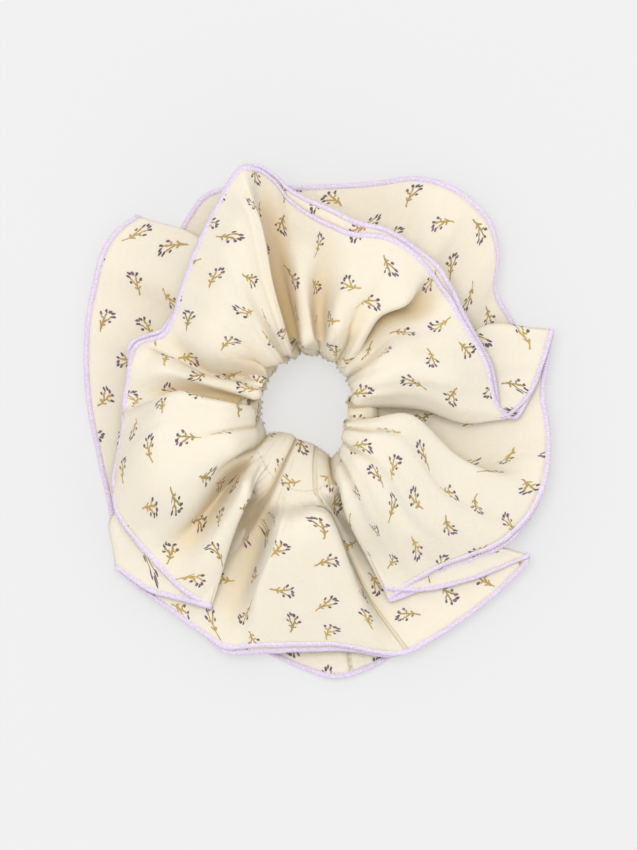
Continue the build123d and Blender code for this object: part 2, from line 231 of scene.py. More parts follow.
# Places across the strip, from its upper edge (0) over the channel to its lower edge.
ACROSS = {
    "upper_edge": 0.0,
    "upper_near_edge": 6.0,
    "upper_outer": 19.0,
    "upper_inner": 41.0,
    "upper_roll": 51.0,
    "upper_lip": 57.5,
    "top_seam": 62.0,
    "channel": 68.0,
    "low_seam": 74.0,
    "lower_lip": 79.0,
    "lower_inner": 95.0,
    "lower_outer": 117.0,
    "lower_near_edge": 130.0,
    "lower_edge": 136.0,
}
STRIP_WIDTH = 136.0
STRIP_LENGTH = 710.0
JOIN_BEARING = -82.0       # degrees, where the outer strip's two ends are sewn together

# Rim of the hole: where the cloth rolls over into the hole, clockwise, in millimetres.
HOLE_RIM = (
    (-11.9, 20.1, 27.0),
    (-6.2, 24.4, 27.5),
    (0.5, 26.2, 28.0),
    (7.2, 26.0, 28.0),
    (11.6, 23.0, 27.0),
    (12.4, 17.5, 25.5),
    (11.2, 11.0, 25.0),
    (9.2, 4.2, 24.5),
    (7.6, -2.5, 24.0),
    (6.8, -10.0, 23.5),
    (6.6, -17.2, 23.0),
    (1.0, -22.6, 22.0),
    (-6.2, -24.4, 21.5),
    (-14.2, -22.6, 22.0),
    (-20.0, -16.4, 23.0),
    (-20.6, -8.7, 23.5),
    (-20.4, -0.5, 24.0),
    (-20.6, 6.0, 25.0),
    (-18.3, 11.2, 26.0),
    (-14.8, 16.0, 26.5),
)
RIM_CENTRE = (-4.0, 2.0)
RIM_BACK = 1.8             # how far the puffs stand in front of the rim's own line
ROLL_SHARE = 0.42          # how far from the rim to the leaf's inner line the roll's top is
ROLL_LIFT = 0.72           # how much of the rise to the inner line it has made by there
ROLL_RISE = 1.2            # how much higher again the roll's top stands
RIM_FOLLOWS = 0.5          # how far the rim follows a leaf that starts below it
LOWEST_LIP = 20.8          # the rim is never lower, so the elastic stays covered

# The channel's inner wall puffs a little into the hole, and bulges there at the front left.
CHANNEL_PUFF = 0.2
CHANNEL_BULGE = 9.2
BULGE_BEARING = math.radians(-108.0)
BULGE_SPREAD = 0.66        # radians
BULGE_FLATNESS = 4
BULGE_AT_SEAM = 0.8        # how much of the bulge is left at the low seam
BULGE_AT_LIP = 0.4         # and at the line below it
LOW_LIP_OUT = 0.8          # how far outside the low seam that line is
LOW_LIP_SHARE = 0.6        # how high it is, as a share of the low seam's height
UNDER_RISE = 1.5           # how far the gathers hold the lower frill up, out of sight

# How far from a frill's outer line to its edge the line beside the edge is, and how much a
# tucked edge drops for each millimetre that it goes under.
NEAR_EDGE_SHARE = 0.68
TUCK_DROP = 0.8

# Distance between the outer and inner strips: on the upper frill, the channel and the lower.
UPPER_GAP = 1.2
CHANNEL_GAP = 3.9
LOWER_GAP = 1.0
CLOTH_THICK = 0.32
LOWEST_CLOTH = 0.9

# Gathers: creases drawn together by the elastic, clockwise round the hole.  Each is where it
# leaves the channel, in degrees, how deep it is and how far it runs out along the leaves.
CREASES = (
    (124.0, 1.0, 24.0),
    (110.0, 0.25, 8.0),
    (97.0, 1.0, 34.0),
    (79.0, 0.7, 18.0),
    (61.0, 0.8, 26.0),
    (44.0, 0.25, 9.0),
    (14.0, 1.0, 24.0),
    (-3.0, 0.9, 20.0),
    (-17.0, 0.3, 10.0),
    (-32.0, 0.45, 12.0),
    (-48.0, 0.3, 9.0),
    (-66.0, 1.0, 22.0),
    (-116.0, 1.0, 24.0),
    (-150.0, 1.0, 26.0),
    (-172.0, 0.15, 7.0),
    (-198.0, 1.0, 24.0),
    (-218.0, 0.3, 12.0),
)
CREASE_DEPTH = 4.6
CREASE_WIDTH = 3.6         # degrees
CREASE_NARROWEST = 0.6     # share of the width that the shallowest crease has
CREASE_WIDER = 0.9         # share of the width that depth adds
CREASE_OPENS = 40.0        # how far out a crease is twice as wide as in the channel
CREASE_HIDES = 1.6         # degrees, the part of a crease that swallows the spare cloth
CREASE_DRAWS = 2.6         # degrees, how far beside a crease no print shows
DRAWN_SHARE = 0.7          # how hollow the cloth counts right beside a crease
DRAWN_REACH = 22.0         # how far out that runs
BETWEEN_RISE = 0.4         # how far the cloth rises between creases, in crease depths
BETWEEN_REACH = 24.0       # how far out that runs
WALL_PUFF = 1.4            # how far the channel's walls puff out between the creases
WALL_DENT = 1.6            # how far a crease dents the walls, in puffs
SMOOTH_WALL = 0.7          # share of that dent which the bulging wall loses
SMOOTH_LIP = 0.85          # share of the gathers which the rim above it loses
SMOOTH_LIP_FROM = 46.0     # millimetres across the strip
SMOOTH_LIP_TO = 56.0

# Small pleats between the creases: how many, how deep and how far out they reach.
UPPER_PLEATS = (31, 0.5, 7.0)
LOWER_PLEATS = (76, 7.4, 22.0)
PLEAT_DRIFT = 0.6          # how far, in pleats, their spacing wanders
PLEAT_DRIFT_WAVES = {"counts": (1, 2, 3, 5, 7), "seed": 11, "lean": 0.0}
PLEAT_ROUNDNESS = 0.8
PLEAT_MIDDLE = 0.6         # share of a pleat's depth that lies under the cloth's own place

# Soft unevenness of the whole sheet, a part of it even at the cut edges.
BROAD_WRINKLE = 0.75
BROAD_WAVES = {"counts": (9, 13, 17, 23, 29), "seed": 21, "lean": 0.06}
SMALL_WRINKLE = 0.2
SMALL_WAVES = {"counts": (37, 53, 71, 89), "seed": 31, "lean": 0.12}
WAVE_SIZES = (0.6, 1.0)
EDGE_WRINKLE = 0.4
EDGE_FROM = 2.0            # millimetres from a cut edge
EDGE_TO = 22.0

# Where, in millimetres across the strip, its leaves turn into the channel's walls and back.
WALLS_FROM = (57.0, 64.0)
WALLS_TO = (73.0, 81.0)

# Hollows between folds, which the material darkens as painted shade: how far to each side the
# cloth beside them is looked at, in columns, how often, and how deep a hollow starts and is fully
# one.
VALLEY_SPAN = 7
VALLEY_ROUNDS = 4
SHALLOW_VALLEY = 0.2
DEEP_VALLEY = 5.0

# How the strips' grids are divided: columns along the strip, which stand closer together
# where the cloth folds back, and rows across each stretch of it.
COLUMNS = 576
FOLD_SAMPLES = 4000
FOLD_SPREAD = 60
FOLD_DENSITY = 2.0
ROWS = (
    ("upper_edge", "upper_inner", 24),
    ("upper_inner", "top_seam", 16),
    ("top_seam", "low_seam", 8),
    ("low_seam", "lower_inner", 12),
    ("lower_inner", "lower_edge", 18),
)
EVEN_FROM = 103.0          # millimetres across, where the lower frill's cloth is taken up evenly
MAP_UNIT = 100.0           # millimetres of cloth in one unit of its map
CUT_MAP = "cut"
OUTER_STRIP = "outer_strip"
INNER_STRIP = "inner_strip"
FACING = "facing"
GATHERED = "gathered"
VALLEY = "valley"

# Hems: the strip, which row of its grid is the edge, and the node that the hem stands for.
HEMS = (
    (OUTER_STRIP, 0, "upper_frill_outer_overlock_edge"),
    (INNER_STRIP, 0, "upper_frill_inner_overlock_edge"),
    (OUTER_STRIP, -1, "lower_frill_outer_overlock_edge"),
    (INNER_STRIP, -1, "lower_frill_inner_overlock_edge"),
)
HEM_HALF_THICK = 0.46
HEM_HALF_WIDE = 0.94
HEM_SIDES = 10

# Threads and their stitches.  A stitch's path runs along its seam, up from the cloth.
OVERLOCK_RADIUS = 0.2
OVERLOCK_LEAN = 0.12       # radians, how unevenly the loops lean
LOOP_HALF_TURN = 2.2       # radians of the hem that a loop goes round, to each side
LOOP_POINTS = 8
LOOP_CLEAR = 0.08          # how far a loop stands off the bead under it
LOOP_SLANT = 0.12          # half of how far apart its ends are along the hem
SEWING_RADIUS = 0.14
SEWING_LEAN = 0.05
CHANNEL_STITCH = ((-0.62, 0, 0), (-0.45, 0, 0.2), (0, 0, 0.28), (0.45, 0, 0.2), (0.62, 0, 0))
JOIN_STITCH = ((-0.75, 0, 0), (-0.5, 0, 0.12), (0.5, 0, 0.12), (0.75, 0, 0))
JOIN_PITCH = 2.2
THREAD_SIDES = 5
THREAD_TIP = 0.35          # how thin a piece of thread is at its ends, beside its middle
THREAD_TWIST = 1500.0      # scale of the ridges of its twist
TWIST_HEIGHT = 0.05
THREAD_FUZZ = 1600.0       # scale of its loose fibres
THREAD_DEEP = 0.84         # brightness of the thread between the fibres

# Stage: the floor in millimetres, as every mesh is, and the rest in metres.
FLOOR_HALF = 900.0
KEY_PLACE = (-0.2, 0.3, 2.2)
KEY_TARGET = (0, 0, 0.02)
KEY_SIZE = 1.1
KEY_COLOUR = (1.0, 0.985, 0.96)
SENSOR_HEIGHT = 24.0       # in millimetres, as the lens is
VIEW_PLANE = 0.015         # height at which the picture has its stated size


def unit_rows(vectors):
    """Each vector of an array, made one long."""
    size = np.linalg.norm(vectors, axis=-1, keepdims=True)
    return vectors / np.maximum(size, 1e-9)


def smooth_step(value, low, high):
    """0 below low, 1 above high and a smooth rise between, for arrays."""
    part = np.clip((value - low) / (high - low), 0.0, 1.0)
    return part * part * (3.0 - 2.0 * part)


def hermite(values, knots, tangents, at):
    """Cubic Hermite curve through values at knots, evaluated at each place in at."""
    left = np.clip(np.searchsorted(knots, at, side="right") - 1, 0, len(knots) - 2)
    width = knots[left + 1] - knots[left]
    part = (at - knots[left]) / width
    shape = (-1,) + (1,) * (values.ndim - 1)
    part = part.reshape(shape)
    width = width.reshape(shape)
    start = 2 * part ** 3 - 3 * part ** 2 + 1
    end = 3 * part ** 2 - 2 * part ** 3
    leave = part ** 3 - 2 * part ** 2 + part
    arrive = part ** 3 - part ** 2
    return (start * values[left] + end * values[left + 1]
            + width * (leave * tangents[left] + arrive * tangents[left + 1]))


def tangents_of(values, knots):
    """Slopes of a curve's stretches, and at its inner knots, weighted by nearness."""
    shape = (-1,) + (1,) * (values.ndim - 1)
    widths = np.diff(knots).reshape(shape)
    slopes = np.diff(values, axis=0) / widths
    inner = (slopes[:-1] * widths[1:] + slopes[1:] * widths[:-1]) / (widths[:-1] + widths[1:])
    return slopes, inner


def smooth_line(values, knots, at):
    """Smooth open curve through values at knots."""
    slopes, inner = tangents_of(values, knots)
    tangents = np.concatenate([slopes[:1], inner, slopes[-1:]])
    return hermite(values, knots, tangents, at)


def smooth_loop(values, knots, period, at):
    """Smooth closed curve through values at knots that start again after one period."""
    wrap = 3
    ring_values = np.concatenate([values[-wrap:], values, values[:wrap]])
    ring_knots = np.concatenate([knots[-wrap:] - period, knots, knots[:wrap] + period])
    _, inner = tangents_of(ring_values, ring_knots)
    tangents = np.concatenate([inner[:1], inner, inner[-1:]])
    return hermite(ring_values, ring_knots, tangents, at)


class FoldTable:
    """One frill's fold table, as arrays, with each row's place along the strip from 0 to 1."""

    def __init__(self, rows):
        self.inner = np.array([row[1] for row in rows])
        self.outer = np.array([row[2] for row in rows])
        self.edge = np.array([row[3] for row in rows])
        self.tuck = np.array([row[4] for row in rows])
        self.reach = np.array([sum(row[5:]) for row in rows])
        steps = np.linalg.norm(np.roll(self.edge, -1, axis=0) - self.edge, axis=1)
        self.places = np.concatenate([[0.0], np.cumsum(steps)[:-1]]) / steps.sum()
        turns = np.radians(np.array([row[0] for row in rows]))
        self.ring_places = np.concatenate([[self.places[-1] - 1], self.places, [1.0]])
        self.ring_turns = np.concatenate([[turns[-1] + math.tau], turns, [turns[0] - math.tau]])

    def along(self, values, at):
        """Values of the table at places along the strip."""
        return smooth_loop(values, self.places, 1.0, at % 1.0)

    def bearing_at(self, at):
        """Bearing at which the cloth leaves the channel."""
        return np.interp(at % 1.0, self.ring_places, self.ring_turns)

    def place_at(self, bearing):
        """Place along the strip that leaves the channel at a bearing."""
        return np.interp(-bearing, -self.ring_turns, self.ring_places)


UPPER = FoldTable(UPPER_FOLDS)
LOWER = FoldTable(LOWER_FOLDS)
JOIN_PLACE = float(UPPER.place_at(math.radians(JOIN_BEARING)))


def oval_points(bearing, height, inset):
    """Points of the channel's leaning oval at bearings, at a height and an inset."""
    rise = (height - LOW_SEAM_HEIGHT) / (TOP_SEAM_HEIGHT - LOW_SEAM_HEIGHT)
    centre = np.array(LOW_SEAM_CENTRE) + (np.array(TOP_SEAM_CENTRE) - LOW_SEAM_CENTRE) * rise
    radii = np.array(LOW_SEAM_RADII) + (np.array(TOP_SEAM_RADII) - LOW_SEAM_RADII) * rise
    across, along = radii + inset
    reach = across * along / np.hypot(along * np.cos(bearing), across * np.sin(bearing))
    spots = np.empty((len(bearing), 3))
    spots[:, 0] = centre[0] + reach * np.cos(bearing)
    spots[:, 1] = centre[1] + reach * np.sin(bearing)
    spots[:, 2] = height
    return spots


def frill_lines(table, at, use_reach):
    """Edge, near-edge, outer and inner lines of one frill at places along the strip."""
    inner = table.along(table.inner, at)
    outer = table.along(table.outer, at)
    edge = table.along(table.edge, at)
    tuck = np.maximum(table.along(table.tuck, at), 0.0)[:, None]
    outward = unit_rows(edge - outer)
    edge = edge + outward * (table.along(table.reach, at) * use_reach)[:, None]
    near = outer + (edge - outer) * NEAR_EDGE_SHARE
    near = near + (edge - near) * np.minimum(tuck, 1.0)
    edge = edge - outward * tuck - np.array([0.0, 0.0, TUCK_DROP]) * tuck
    return edge, near, outer, inner


def rim_points(bearing):
    """Points of the hole's rim at bearings from its middle."""
    rim = np.array(HOLE_RIM)
    turns = np.unwrap(np.arctan2(rim[:, 1] - RIM_CENTRE[1], rim[:, 0] - RIM_CENTRE[0]))
    return smooth_loop(rim, (turns[0] - turns) / math.tau, 1.0,
                       ((turns[0] - bearing) / math.tau) % 1.0)


def bulge_share(bearing):
    """How far the channel's inner wall stands into the hole at bearings, from 0 to 1."""
    away = np.angle(np.exp(1j * (bearing - BULGE_BEARING)))
    return np.exp(-(away / BULGE_SPREAD) ** BULGE_FLATNESS)


def strip_surface(at, across, use_reach):
    """A whole strip as a grid of points: places along it by places across it."""
    bearing = UPPER.bearing_at(at)
    edge, near, outer, inner = frill_lines(UPPER, at, use_reach)
    low_edge, low_near, low_outer, low_inner = frill_lines(LOWER, LOWER.place_at(bearing), 0.0)
    lip = rim_points(bearing)
    outward = inner - lip
    outward[:, 2] = 0.0
    lip = lip + unit_rows(outward) * RIM_BACK
    lip[:, 2] += RIM_FOLLOWS * np.minimum(inner[:, 2] - lip[:, 2], 0.0)
    lip[:, 2] = np.maximum(lip[:, 2], LOWEST_LIP)
    roll = lip + (inner - lip) * np.array([ROLL_SHARE, ROLL_SHARE, ROLL_LIFT])
    roll[:, 2] += ROLL_RISE
    bulge = CHANNEL_BULGE * bulge_share(bearing)
    middle = (TOP_SEAM_HEIGHT + LOW_SEAM_HEIGHT) / 2
    channel = oval_points(bearing, middle, 0.0)
    inward = unit_rows(oval_points(bearing, middle, -1.0) - channel)
    channel = channel + inward * (CHANNEL_PUFF + bulge)[:, None]
    low_seam = oval_points(bearing, LOW_SEAM_HEIGHT, 0.0)
    low_seam = low_seam + inward * (bulge * BULGE_AT_SEAM)[:, None]
    low_lip = oval_points(bearing, LOW_SEAM_HEIGHT, LOW_LIP_OUT)
    low_lip = low_lip + inward * (bulge * BULGE_AT_LIP)[:, None]
    low_lip[:, 2] = LOW_SEAM_HEIGHT * LOW_LIP_SHARE
    low_inner = low_inner + np.array([0.0, 0.0, UNDER_RISE])
    lines = np.stack([
        edge, near, outer, inner, roll, lip, oval_points(bearing, TOP_SEAM_HEIGHT, 0.0), channel,
        low_seam, low_lip, low_inner, low_outer, low_near, low_edge,
    ])
    return smooth_line(lines, np.array(list(ACROSS.values())), across).transpose(1, 0, 2)


def grid_normals(grid):
    """Normal at each point of a grid that is closed along its first axis, right side out."""
    along = np.roll(grid, -1, axis=0) - np.roll(grid, 1, axis=0)
    across = np.empty_like(grid)
    across[:, 1:-1] = grid[:, 2:] - grid[:, :-2]
    across[:, 0] = grid[:, 1] - grid[:, 0]
    across[:, -1] = grid[:, -1] - grid[:, -2]
    return unit_rows(np.cross(across, along))


def even_along(count):
    """Places along the strip from its join, closer together where the cloth folds back."""
    fine = np.linspace(0.0, 1.0, FOLD_SAMPLES, endpoint=False) + JOIN_PLACE
    bend = np.zeros(FOLD_SAMPLES)
    lower_places = LOWER.place_at(UPPER.bearing_at(fine))
    for table, places in ((UPPER, fine), (LOWER, lower_places)):
        edge = table.along(table.edge, places)
        heading = unit_rows(np.roll(edge, -1, axis=0) - edge)
        turn = np.arccos(np.clip((heading * np.roll(heading, 1, axis=0)).sum(axis=1), -1, 1))
        bend += turn
    spread = np.exp(-np.linspace(-2.0, 2.0, FOLD_SPREAD) ** 2)
    padded = np.concatenate([bend[-FOLD_SPREAD:], bend, bend[:FOLD_SPREAD]])
    bend = np.convolve(padded, spread, mode="same")[FOLD_SPREAD:-FOLD_SPREAD]
    density = 1.0 + FOLD_DENSITY * np.minimum(bend / bend.max() * 2.0, 1.0)
    filled = np.concatenate([[0.0], np.cumsum(density)]) / density.sum()
    return np.interp(np.arange(count) / count, filled, np.linspace(0.0, 1.0, FOLD_SAMPLES + 1))


def even_across():
    """Places across the strip, from its upper edge to its lower."""
    stretches = [np.linspace(ACROSS[first], ACROSS[last], rows, endpoint=False)
                 for first, last, rows in ROWS]
    return np.append(np.concatenate(stretches), STRIP_WIDTH)


def waves(at, across, counts, seed, lean):
    """Sum of waves that run along the strip, with random starts, sizes and leans."""
    rng = np.random.default_rng(seed)
    total = np.zeros((len(at), len(across)))
    for count in counts:
        start = rng.uniform(0.0, math.tau)
        size = rng.uniform(*WAVE_SIZES)
        tilt = rng.uniform(-lean, lean)
        phase = math.tau * count * at[:, None] + start + tilt * across[None, :]
        total += size * np.sin(phase)
    return total / math.sqrt(len(counts))


def crease_offsets(bearing):
    """How far each bearing is from each crease, in degrees, by column and crease."""
    turns = np.radians([crease[0] for crease in CREASES])
    return np.degrees(np.abs(np.angle(np.exp(1j * (bearing[:, None] - turns[None, :])))))


def gathers(at, across):
    """How far the cloth puffs out between the creases, and how deep in them each place is."""
    past = (np.maximum(ACROSS["upper_lip"] - across, 0.0)
            + np.maximum(across - ACROSS["low_seam"], 0.0))
    offsets = crease_offsets(UPPER.bearing_at(at))
    depth = np.zeros((len(at), len(across)))
    for number, (_, deep, reach) in enumerate(CREASES):
        fade = np.exp(-(past / reach) ** 2)
        width = CREASE_WIDTH * (CREASE_NARROWEST + CREASE_WIDER * deep)
        width = width * (1.0 + past / CREASE_OPENS)
        depth += deep * np.exp(-offsets[:, number][:, None] / width[None, :]) * fade[None, :]
    rise = BETWEEN_RISE * np.exp(-(past / BETWEEN_REACH) ** 2)[None, :]
    puff = CREASE_DEPTH * (rise - np.minimum(depth, 1.0))
    drift = waves(at, across[:1], **PLEAT_DRIFT_WAVES)
    middle = (ACROSS["top_seam"] + ACROSS["low_seam"]) / 2
    for (count, size, reach), here in ((UPPER_PLEATS, across < middle),
                                       (LOWER_PLEATS, across >= middle)):
        fold = np.abs(np.sin(math.pi * (count * at[:, None] + drift * PLEAT_DRIFT)))
        fold = fold ** PLEAT_ROUNDNESS - PLEAT_MIDDLE
        puff += size * fold * (np.exp(-(past / reach) ** 2) * here)[None, :]
    drawn = np.exp(-(offsets.min(axis=1) / CREASE_DRAWS) ** 2)[:, None]
    drawn = DRAWN_SHARE * drawn * np.exp(-(past / DRAWN_REACH) ** 2)[None, :]
    return puff, np.maximum(np.minimum(depth, 1.0), drawn)


def wrinkles(at, across):
    """Soft unevenness of the whole sheet."""
    broad = waves(at, across, **BROAD_WAVES)
    small = waves(at, across, **SMALL_WAVES)
    ends = np.minimum(across, STRIP_WIDTH - across)
    body = smooth_step(ends, EDGE_FROM, EDGE_TO)[None, :]
    body = EDGE_WRINKLE + (1.0 - EDGE_WRINKLE) * body
    return broad * BROAD_WRINKLE * body + small * SMALL_WRINKLE


def channel_share(across):
    """1 on the channel's walls and 0 on the leaves, at places across a strip."""
    return smooth_step(across, *WALLS_FROM) * (1.0 - smooth_step(across, *WALLS_TO))


def strip_gap(across):
    """Distance from the outer strip's leaves to the inner strip's, at places across them."""
    below = smooth_step(across, ACROSS["top_seam"], ACROSS["low_seam"])
    return UPPER_GAP + (LOWER_GAP - UPPER_GAP) * below


def strip_grid(along, across, inner):
    """A strip's mid surface with its gathers and wrinkles, and its normals, in millimetres."""
    at = along + JOIN_PLACE
    smooth = strip_surface(at, across, 1.0 if inner else 0.0)
    puff, hollow = gathers(at, across)
    opening = channel_share(across)[None, :]
    bulging = bulge_share(UPPER.bearing_at(at))[:, None]
    wall = WALL_PUFF * (1.0 - WALL_DENT * hollow ** 2 * (1.0 - SMOOTH_WALL * bulging))
    near_rim = smooth_step(across, SMOOTH_LIP_FROM, SMOOTH_LIP_TO)[None, :]
    puff = puff * (1.0 - SMOOTH_LIP * bulging * near_rim)
    if inner:
        wall = -wall
        puff = puff - strip_gap(across)[None, :] * (1.0 - opening)
        wall = wall - CHANNEL_GAP
    puff = puff * (1.0 - opening) + wall * opening
    lift = puff + wrinkles(at, across) * (1.0 - opening)
    grid = smooth + grid_normals(smooth) * lift[..., None]
    lowest = LOWEST_CLOTH + (LOWER_GAP if inner else 0.0)
    grid[..., 2] = np.maximum(grid[..., 2], lowest)
    return grid, grid_normals(grid), hollow


# ---------------------------------------------------------------------------------------------
# Meshes
# ---------------------------------------------------------------------------------------------
def new_object(name, mesh):
    """A mesh object at the origin, linked into the scene."""
    made = bpy.data.objects.new(name, mesh)
    bpy.context.scene.collection.objects.link(made)
    return made


def fill_mesh(mesh, points, faces):
    """Fill a mesh from points in millimetres and faces, and shade it smooth."""
    mesh.from_pydata((points * MM).tolist(), [], faces)
    mesh.polygons.foreach_set("use_smooth", [True] * len(mesh.polygons))
    mesh.update()


def cut_map(grid, along, across):
    """Where each point of a laid strip is on the flat cut, in millimetres.

    Round the hole the cloth between two creases shows at its own size, and the creases
    swallow what is spare.  The lower frill's fine gathers take up their cloth evenly.  The
    last column is the join's far side.
    """
    columns = len(along)
    ring = np.concatenate([grid, grid[:1]])
    low = LOWER.place_at(UPPER.bearing_at(along + JOIN_PLACE))
    low = np.append((low - low[0]) % 1.0, 1.0)
    upper_share = 1.0 - smooth_step(across, ACROSS["low_seam"], ACROSS["lower_inner"])
    steps = np.linalg.norm(np.diff(ring, axis=0), axis=2)
    places = np.append(along, 1.0)
    drawn = STRIP_LENGTH * (places[:, None] * upper_share + low[:, None] * (1.0 - upper_share))
    offsets = crease_offsets(UPPER.bearing_at(places[:-1] + np.diff(places) / 2 + JOIN_PLACE))
    swallow = np.exp(-(offsets.min(axis=1) / CREASE_HIDES) ** 2) + 1e-6
    nearest = offsets.argmin(axis=1)
    deepest = [0] + [int(np.argmax(np.where(nearest == number, swallow, 0.0)))
                     for number in range(len(CREASES))] + [columns]
    stops = sorted(set(deepest))
    around = np.zeros((columns + 1, len(across)))
    for start, stop in zip(stops[:-1], stops[1:]):
        cloth = drawn[stop] - drawn[start]
        part = steps[start:stop]
        total = part.sum(axis=0)
        spare = np.maximum(cloth - total, 0.0)
        share = swallow[start:stop] / swallow[start:stop].sum()
        sized = part * np.minimum(cloth / total, 1.0) + share[:, None] * spare
        around[start + 1:stop + 1] = drawn[start] + np.cumsum(sized, axis=0)
    around += (drawn - around) * smooth_step(across, ACROSS["lower_lip"], EVEN_FROM)
    rise = np.linalg.norm(np.diff(ring, axis=1), axis=2)
    over = np.concatenate([np.zeros((columns + 1, 1)), np.cumsum(rise, axis=1)], axis=1)
    seam = int(np.argmin(np.abs(across - ACROSS["top_seam"])))
    from_seam = over + ACROSS["top_seam"] - over[:, seam:seam + 1]
    from_edge = over + STRIP_WIDTH - over[:, -1:]
    over = from_seam + (from_edge - from_seam) * smooth_step(across, ACROSS["low_seam"], EVEN_FROM)
    return np.stack([around, over], axis=2)


def valley_depth(grid):
    """How deep each point of a laid strip is between the folds beside it, from 0 to 1."""
    height = grid[..., 2]
    around = height
    for _ in range(VALLEY_ROUNDS):
        beside = np.roll(around, VALLEY_SPAN, axis=0) + np.roll(around, -VALLEY_SPAN, axis=0)
        around = (beside + 2.0 * around) / 4.0
    return smooth_step(around - height, SHALLOW_VALLEY, DEEP_VALLEY)


def cloth_mesh(name, grid, normals, hollow, along, across):
    """A closed thin sheet from a grid of points.

    Its map says where each point is in the flat cut, and two values at each point how far
    into the gathers and how deep between the folds it lies.
    """
    columns, rows = grid.shape[:2]
    half = normals * CLOTH_THICK / 2
    points = np.concatenate([(grid + half).reshape(-1, 3), (grid - half).reshape(-1, 3)])
    cut = cut_map(grid, along, across)
    below = columns * rows
    faces = []
    places = []
    for column in range(columns):
        following = (column + 1) % columns
        for row in range(rows - 1):
            corner = (column * rows + row, column * rows + row + 1,
                      following * rows + row + 1, following * rows + row)
            spots = (cut[column, row], cut[column, row + 1],
                     cut[column + 1, row + 1], cut[column + 1, row])
            faces.append(corner)
            places.extend(spots)
            faces.append(tuple(index + below for index in reversed(corner)))
            places.extend(reversed(spots))
        for row, turned in ((0, False), (rows - 1, True)):
            rim = [column * rows + row, following * rows + row,
                   following * rows + row + below, column * rows + row + below]
            spots = [cut[column, row], cut[column + 1, row],
                     cut[column + 1, row], cut[column, row]]
            if turned:
                rim.reverse()
                spots.reverse()
            faces.append(tuple(rim))
            places.extend(spots)
    mesh = bpy.data.meshes.new(name)
    fill_mesh(mesh, points, faces)
    layer = mesh.uv_layers.new(name=CUT_MAP)
    layer.data.foreach_set("uv", (np.array(places) / MAP_UNIT).ravel())
    for label, values in ((GATHERED, hollow), (VALLEY, valley_depth(grid))):
        kept = mesh.attributes.new(label, "FLOAT", "POINT")
        kept.data.foreach_set("value", np.tile(values.ravel(), 2))
    return mesh


def make_strip(name, inner):
    """One whole strip of cloth, laid in its folds."""
    along = even_along(COLUMNS)
    across = even_across()
    grid, normals, hollow = strip_grid(along, across, inner)
    return new_object(name, cloth_mesh(name, grid, normals, hollow, along, across))


def strip_lines(name):
    """The mid surface and normals of a finished strip, in millimetres, read from its mesh."""
    mesh = bpy.data.objects[name].data
    points = np.empty(len(mesh.vertices) * 3)
    mesh.vertices.foreach_get("co", points)
    sides = points.reshape(2, COLUMNS, -1, 3) / MM
    return sides.mean(axis=0), unit_rows(sides[0] - sides[1])


def line_mesh(name, points, facing, closed=True):
    """A line of edges with the way its stitches face kept at each point."""
    mesh = bpy.data.meshes.new(name)
    count = len(points)
    edges = [(index, (index + 1) % count) for index in range(count if closed else count - 1)]
    mesh.from_pydata((points * MM).tolist(), edges, [])
    kept = mesh.attributes.new(FACING, "FLOAT_VECTOR", "POINT")
    kept.data.foreach_set("vector", facing.ravel())
    return mesh


def thread_mesh(name, path, radius):
    """A short piece of thread along a path in millimetres, closed at both ends."""
    sides = THREAD_SIDES
    path = np.array(path, dtype=float)
    heading = unit_rows(np.gradient(path, axis=0))
    side = unit_rows(np.cross(heading, np.array([1.0, 0.0, 0.0]) + heading[:, ::-1] * 0.01))
    over = np.cross(side, heading)
    turn = np.arange(sides) * math.tau / sides
    thin = np.ones(len(path))
    thin[0] = thin[-1] = THREAD_TIP
    ring = (side[:, None] * np.cos(turn)[None, :, None]
            + over[:, None] * np.sin(turn)[None, :, None])
    points = (path[:, None] + ring * (radius * thin)[:, None, None]).reshape(-1, 3)
    faces = []
    for step in range(len(path) - 1):
        for index in range(sides):
            beside = (index + 1) % sides
            faces.append((step * sides + index, (step + 1) * sides + index,
                          (step + 1) * sides + beside, step * sides + beside))
    faces.append(tuple(range(sides)))
    last = (len(path) - 1) * sides
    faces.append(tuple(reversed(range(last, last + sides))))
    mesh = bpy.data.meshes.new(name)
    fill_mesh(mesh, points, faces)
    return mesh


